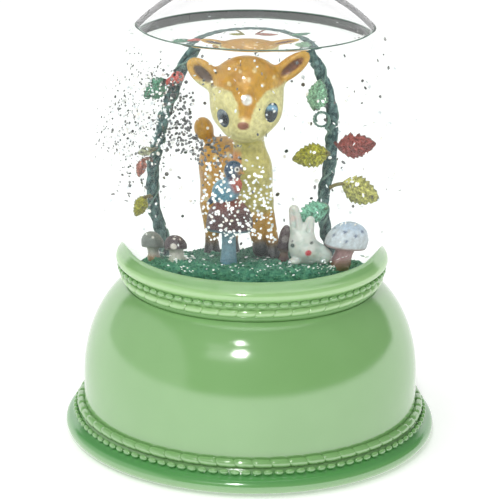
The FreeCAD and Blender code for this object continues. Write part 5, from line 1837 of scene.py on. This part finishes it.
@dataclass
class Glitter:
    """Cut foil that hangs in the liquid and lies on the moss. Sizes in mm."""

    radius: float = 0.5
    thick: float = 0.05
    wall: float = 43.4
    seed: int = 17
    centre: float = field(default_factory=lambda: top_of("globe_glass") - BALL_RADIUS)
    water: float = field(default_factory=lambda: top_of("liquid_fill"))
    ground: float = field(default_factory=lambda: top_of("ground_mound"))

    def cloud(self, name: str, drifts: Sequence[Drift], tree: Grower, foil: Finish) -> Piece:
        """Builds the flakes of some drifts.

        Args:
            name: The piece's name.
            drifts: Where they hang.
            tree: The tree that makes flakes.
            foil: Their finish.

        Returns:
            The piece.
        """
        rng = np.random.default_rng(self.seed)
        places, sizes, turns = [], [], []
        for drift in drifts:
            spots = rng.uniform(drift.low, drift.high, (drift.count, 3))
            places.append(spots)
            sizes.append(drift.size * rng.uniform(0.65, 1.25, drift.count))
            tilts = rng.uniform(-drift.tilt, drift.tilt, (drift.count, 3))
            turns.append(tilts + np.array((drift.facing, 0, 0)))
        spots, size, turn = np.vstack(places), np.concatenate(sizes), np.vstack(turns)
        keep = np.linalg.norm(spots - np.array((0, 0, self.centre)), axis=1) < self.wall
        keep &= (spots[:, 2] < self.water - 1.2) & (spots[:, 2] > self.ground - 4.2)
        spots, size, turn = spots[keep], size[keep], turn[keep]
        seeds = solid(name + "_places", spots, [], smooth=False)
        for mark, kind, slot, values in (("turn", "FLOAT_VECTOR", "vector", turn),
                                         ("size", "FLOAT", "value", size)):
            marks = seeds.data.attributes.new(mark, kind, "POINT")
            marks.data.foreach_set(slot, values.astype(np.float32).ravel())
        return tree.grow(seeds, name, Flake_Radius=self.radius * MM,
                         Flake_Thickness=self.thick * MM, Material=foil)

    def build(self, bright: Finish, grey: Finish) -> None:
        """Builds and dresses the flakes.

        Args:
            bright: The silver foil.
            grey: The dull foil.
        """
        top = self.ground
        silver = [
            Drift((-13, -35, 72), (6, -20, 93), 300, 0.82, 0.8, FACING),
            Drift((-38, -30, 94), (-20, -12, 114), 230, 0.8),
            Drift((-22, -25.5, top - 4.0), (22, -17, top - 0.2), 150, 0.7, 1.2),
            Drift((-34, -10, 88), (-19, 6, 108), 170, 0.8), Drift((-36, -42, 70), (36, 38, 123), 420, 0.85),
            Drift((-24, -20, top - 0.2), (24, 20, top + 0.4), 90, 0.9, 0.4),
            Drift((8, -30, 96), (26, -10, 112), 26), Drift((18, -28, 74), (38, -8, 92), 26)]
        dull = [Drift(low, high, count, 0.9, 0.9, FACING) for low, high, count in (
            ((-25, -31, 108), (-19, -24, 121), 60), ((-22, -31, 102), (-16, -24, 112), 70),
            ((-23, -31, 95), (-16, -24, 103), 70), ((-16, -31, 92), (-8, -24, 100), 80),
            ((-8, -31, 93), (-3, -24, 98), 16))]
        dull += [
            Drift((-41, -30, 92), (-21, -12, 116), 200, 0.8), Drift((-36, -30, 80), (-22, -12, 96), 60, 0.8),
            Drift((-32, -40, 72), (34, 36, 122), 150, 0.9), Drift((-42, -32, 88), (-23, -4, 118), 520, 0.5)]
        tree = flake_tree()
        settle(self.cloud("silver_flakes", silver, tree, bright), Slot.GLITTER, "glitter_flakes")
        settle(self.cloud("grey_flakes", dull, tree, grey), Slot.GLITTER)


# --- the works under the deck
@dataclass
class Works:
    """The battery springs, and the finishes of the parts that keep their own shape. Sizes in mm."""

    well: float = 25.55
    row: float = 11.0
    length: float = 6.6
    wire: float = 0.35
    wide: float = 3.95
    narrow: float = 2.75
    turns: float = 5.0
    cell_height: float = 8.85

    def springs(self, steel: Finish) -> None:
        """Builds a tapered coil at the minus end of each cell.

        Args:
            steel: Their finish.
        """
        tree = coil_tree()
        for number, way in enumerate((1, -1, 1)):
            start = placed("coil_start", bpy.data.meshes.new("coil_start"))
            spring = tree.grow(start, f"battery_spring_{number + 1}", Turns=self.turns,
                               Wide=(self.wide - self.wire) * MM, Narrow=(self.narrow - self.wire) * MM,
                               Length=(self.length - 2 * self.wire) * MM, Wire_Radius=self.wire * MM,
                               Material=steel)
            place = Vector((-way * (self.well - self.wire), (number - 1) * self.row, self.cell_height)) * MM
            spring.data.transform(Matrix.Translation(place) @ Matrix.Rotation(math.radians(90 * way), 4, "Y"))
            settle(spring, Slot.SPRING, "contact_springs")

    def dress(self, finishes: dict[str, Finish]) -> None:
        """Gives each kept part its finish.

        Args:
            finishes: A finish for each node's name.
        """
        for name, finish in finishes.items():
            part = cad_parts[name]
            part.data.materials.clear()
            part.data.materials.append(finish)
            LOG.info("%s: dressed", name)


# --- the studio
@dataclass(frozen=True)
class Lamp:
    """A soft lamp: the way to it, how far away it hangs, its sides in metres and its power in watts."""

    name: str
    toward: Point
    far: float
    wide: float
    tall: float
    power: float
    mirrored: bool = True

    def hang(self, middle: Point) -> None:
        """Hangs the lamp so that it shines at a place.

        Args:
            middle: The place.
        """
        data = bpy.data.lights.new(self.name, "AREA")
        data.shape = "RECTANGLE"
        data.size, data.size_y, data.energy = self.wide, self.tall, self.power
        lamp = placed(self.name, data)
        away = Vector(self.toward).normalized()
        lamp.location = Vector(middle) + away * self.far
        lamp.rotation_euler = away.to_track_quat("Z", "Y").to_euler()
        lamp.visible_glossy = self.mirrored


@dataclass
class Studio:
    """The pale floor, the soft room and the camera. Lengths in metres."""

    camera_place: Point = (0.0, -0.573, 0.2375)
    camera_tilt: float = 72.55
    camera_turn: float = 0.079
    camera_roll: float = 0.85
    lens: float = 141.3
    floor_reach: float = 6.0
    lit_place: Point = (-0.0031, -0.0457, 0.0402)
    backdrop: float = 1.05
    seen_through: float = 1.14
    front_loss: float = 0.16
    mirrored_sweep: float = 1.25
    mirrored_room: float = 0.15
    mirrored_left: float = 0.4
    soft_light: float = 0.74
    left_start: float = 0.64
    left_steep: float = 14.0
    front_start: float = -0.3
    front_steep: float = 5.0
    sweep_edge: float = 0.07
    sweep_climb: float = 1.1
    sweep_soft: float = 0.02
    bounces: int = 26
    mirror_bounces: int = 8

    def floor(self) -> None:
        """Lays a large white floor that shows to the camera and to soft light only."""
        wide = self.floor_reach
        points = np.array([(-wide, -wide, 0), (wide, -wide, 0), (wide, wide, 0), (-wide, wide, 0)]) / MM
        floor = solid("studio_floor", points, [[0, 1, 2, 3]], smooth=False)
        r = Recipe("floor_paper")
        grain = r.noise(60.0, 3.0)
        white = r.ramp(grain, [(0.3, (0.86, 0.86, 0.86)), (0.7, (0.90, 0.90, 0.90))])
        r.shade(Base_Color=white, Roughness=0.9, Emission_Color=FULL, Emission_Strength=0.30)
        below = r.node("ShaderNodeNewGeometry").outputs["Backfacing"]
        clear = r.node("ShaderNodeBsdfTransparent")
        paper = r.node("ShaderNodeMixShader", {0: below, 1: r.shader.outputs[0], 2: clear.outputs[0]})
        floor.data.materials.append(r.surface(paper))
        floor.visible_glossy = floor.visible_transmission = False

    def room(self) -> None:
        """Lights the room: a white sweep behind and below, a dark room above the camera's side."""
        world = bpy.data.worlds.new("soft_room")
        bpy.context.scene.world = world
        world.use_nodes = True
        w = Wiring(world.node_tree)
        way = w.node("ShaderNodeTexCoord").outputs["Generated"]
        x, y, z = w.node("ShaderNodeSeparateXYZ", {0: way}).outputs
        level = w.sum("SQRT", w.sum("MAXIMUM", w.sum("SUBTRACT", 1.0, w.sum("MULTIPLY", z, z)), 0.0001))
        past = w.sum("MAXIMUM", w.sum("SUBTRACT", w.sum("DIVIDE", y, level), 0.55), 0.0)
        rim = w.sum("ADD", self.sweep_edge, w.sum("MULTIPLY", self.sweep_climb, past))
        dark = w.clamped(w.sum("DIVIDE", w.sum("SUBTRACT", z, rim), self.sweep_soft))
        left = w.clamped(w.sum("MULTIPLY", w.sum("SUBTRACT", -self.left_start, x), self.left_steep))
        room = w.sum("ADD", self.mirrored_room, w.sum("MULTIPLY", left, self.mirrored_left))
        sweep = w.sum("MULTIPLY", w.sum("SUBTRACT", 1.0, dark), self.mirrored_sweep)
        glossy = w.sum("ADD", w.sum("MULTIPLY", dark, room), sweep)
        front = w.clamped(w.sum("MULTIPLY", w.sum("SUBTRACT", self.front_start, y), self.front_steep))
        through = w.sum("SUBTRACT", self.seen_through, w.sum("MULTIPLY", front, self.front_loss))
        rays = w.node("ShaderNodeLightPath").outputs
        strength: object = self.soft_light
        for flag, value in (("Is Glossy Ray", glossy), ("Is Transmission Ray", through),
                            ("Is Camera Ray", self.backdrop)):
            strength = w.node("ShaderNodeMix", {0: rays[flag], 2: strength, 3: value}).outputs[0]
        back = w.tree.nodes["Background"].inputs
        w.join(strength, back["Strength"])
        w.join(FULL, back["Color"])

    def camera(self) -> None:
        """Places the camera."""
        data = bpy.data.cameras.new("camera")
        data.lens, data.sensor_width, data.clip_start, data.clip_end = self.lens, 36.0, 0.05, 50.0
        camera = placed("camera", data)
        turn = Matrix.Identity(4)
        for degrees, axis in ((self.camera_turn, "Z"), (self.camera_tilt, "X"), (self.camera_roll, "Z")):
            turn = turn @ Matrix.Rotation(math.radians(degrees), 4, axis)
        camera.matrix_world = Matrix.Translation(self.camera_place) @ turn
        bpy.context.scene.camera = camera

    def build(self) -> None:
        """Sets up the whole studio."""
        bpy.context.scene.view_settings.view_transform = "Standard"
        light = bpy.context.scene.cycles
        light.max_bounces = light.transmission_bounces = light.transparent_max_bounces = self.bounces
        light.glossy_bounces = self.mirror_bounces
        self.floor()
        self.room()
        for lamp in (Lamp("key_lamp", (-0.115, -0.704, 0.701), 1.4, 0.055, 0.055, 3.4),
                     Lamp("second_lamp", (-0.109, -0.52, 0.847), 1.4, 0.05, 0.05, 0.8),
                     Lamp("top_softbox", (-0.55, -0.3, 0.9), 1.6, 0.9, 0.9, 4.4, mirrored=False),
                     Lamp("pale_window", (-0.319, -0.684, 0.656), 1.4, 0.46, 0.253, 0.26),
                     Lamp("small_pale_window", (-0.34, -0.55, 0.76), 1.4, 0.30, 0.12, 0.07)):
            lamp.hang(self.lit_place)
        self.camera()


def main() -> None:
    """Builds the looks in order."""
    logging.basicConfig(level=logging.INFO, format="%(name)s: %(message)s")
    # painted shade and painted highlight: deep darkens the cove above the foot where shade falls, light
    # brightens two bands high on the collar where the white room is reflected, and plain lies between them
    deep, plain, light = (0.36, 0.68, 0.48), (0.90, 0.93, 0.90), (1.45, 1.27, 1.42)
    jade = MouldedPlastic("jade_gloss_plastic", JADE, JADE_SHADE, glow=0.1, bend=2.2, painted_light_bands=(
        (1.0, plain), (2.2, plain), (5.2, deep), (6.3, deep), (7.8, plain), (49.0, plain), (50.3, light),
        (51.4, light), (52.2, plain), (53.6, plain), (54.6, light), (56.6, light), (57.8, plain))).make()
    Base().build(jade)
    Globe().build(ThroughClear("blown_glass", 1.5).make(),
                  ThroughClear("clear_liquid", 1.33, (0.985, 1.0, 0.99)).make(),
                  Soft("waterline_shade", screen(82, 110, 98), screen(112, 138, 124), 0.4, 180.0).make())
    ground = Ground()
    ground.build(MossFlock("moss_flock", screen(58, 132, 108),
                           screen(26, 76, 70), screen(112, 178, 142)).make())
    resin = PaintedResin("painted_resin").make()
    gloss = PaintedResin("glossy_paint", roughness=0.1, coat=1.0, pores=0.0, wash=0.02).make()
    Fawn(ground.top).build(resin, gloss)
    Songbird(ground.top).build(resin)
    milky = PaintedResin("milky_resin", roughness=0.32, coat=0.4, wash=0.08, glow=0.25).make()
    Rabbit(ground.top).build(milky)
    for toadstool in toadstools():
        toadstool.build(ground.top, resin)
    vine = Vine()
    vine.build(Soft("dark_vine_cord", screen(40, 72, 74), screen(112, 146, 142), 0.6, 900.0).make(),
               Soft("pale_vine_thread", screen(128, 158, 146), screen(88, 122, 116), 0.6, 500.0).make(),
               PaintedResin("berry_paint", roughness=0.24, coat=0.6, wash=0.08).make())
    for leaf in leaves():
        leaf.build(vine)
    # the silver foil's last value is its painted glow, emission that stands for glints
    Glitter().build(FoilGlitter("silver_foil", 0.3, 1.18, 0.25, 0.3).make(),
                    FoilGlitter("grey_foil", 0.34, 0.3).make())
    works = Works()
    works.springs(BareMetal("nickel_spring", (0.66, 0.64, 0.60), 0.28).make())
    plate = MouldedPlastic("plate_plastic", screen(132, 184, 130), screen(112, 164, 110),
                           0.42, grain=0.00005).make()
    zinc = BareMetal("zinc_screw").make()
    black = MouldedPlastic("black_plastic", (0.02, 0.02, 0.022), (0.035, 0.035, 0.036),
                           0.4, grain=0.00005).make()
    clear = ThroughClear("clear_silicone", 1.41, (0.93, 0.96, 0.95), 0.25).make()
    red = Soft("red_insulation", (0.50, 0.03, 0.02), (0.40, 0.02, 0.015), 0.35, 300.0, 0.2).make()
    sleeve = Soft("cell_sleeve", screen(96, 112, 120), screen(70, 84, 94), 0.3, 90.0, 0.5).make()
    works.dress({
        "base_plate": plate, "battery_door": plate, "plate_screws": zinc, "door_screw": zinc,
        "board_screws": zinc,
        "rubber_feet": Soft("foot_rubber", screen(196, 200, 190), screen(176, 182, 172), 0.8).make(),
        "contact_plates": BareMetal("nickel_plate", (0.66, 0.64, 0.60), 0.28).make(), "switch_case": black,
        "switch_knob": black, "board_parts": black, "neck_stopper": clear, "neck_bond": clear,
        "led_board": Soft("solder_mask", screen(226, 230, 222), screen(206, 212, 204),
                          0.4, 200.0, 0.3).make(),
        "leds": Soft("lamp_phosphor", screen(244, 232, 150), screen(240, 240, 230), 0.35, 900.0, 0.4).make(),
        "lead_feed": red, "lead_switched": red,
        "lead_return": Soft("black_insulation", (0.02, 0.02, 0.022),
                            (0.04, 0.04, 0.04), 0.35, 300.0, 0.2).make(),
        "cell_1": sleeve, "cell_2": sleeve, "cell_3": sleeve})
    Studio().build()


if __name__ == "__main__":
    main()
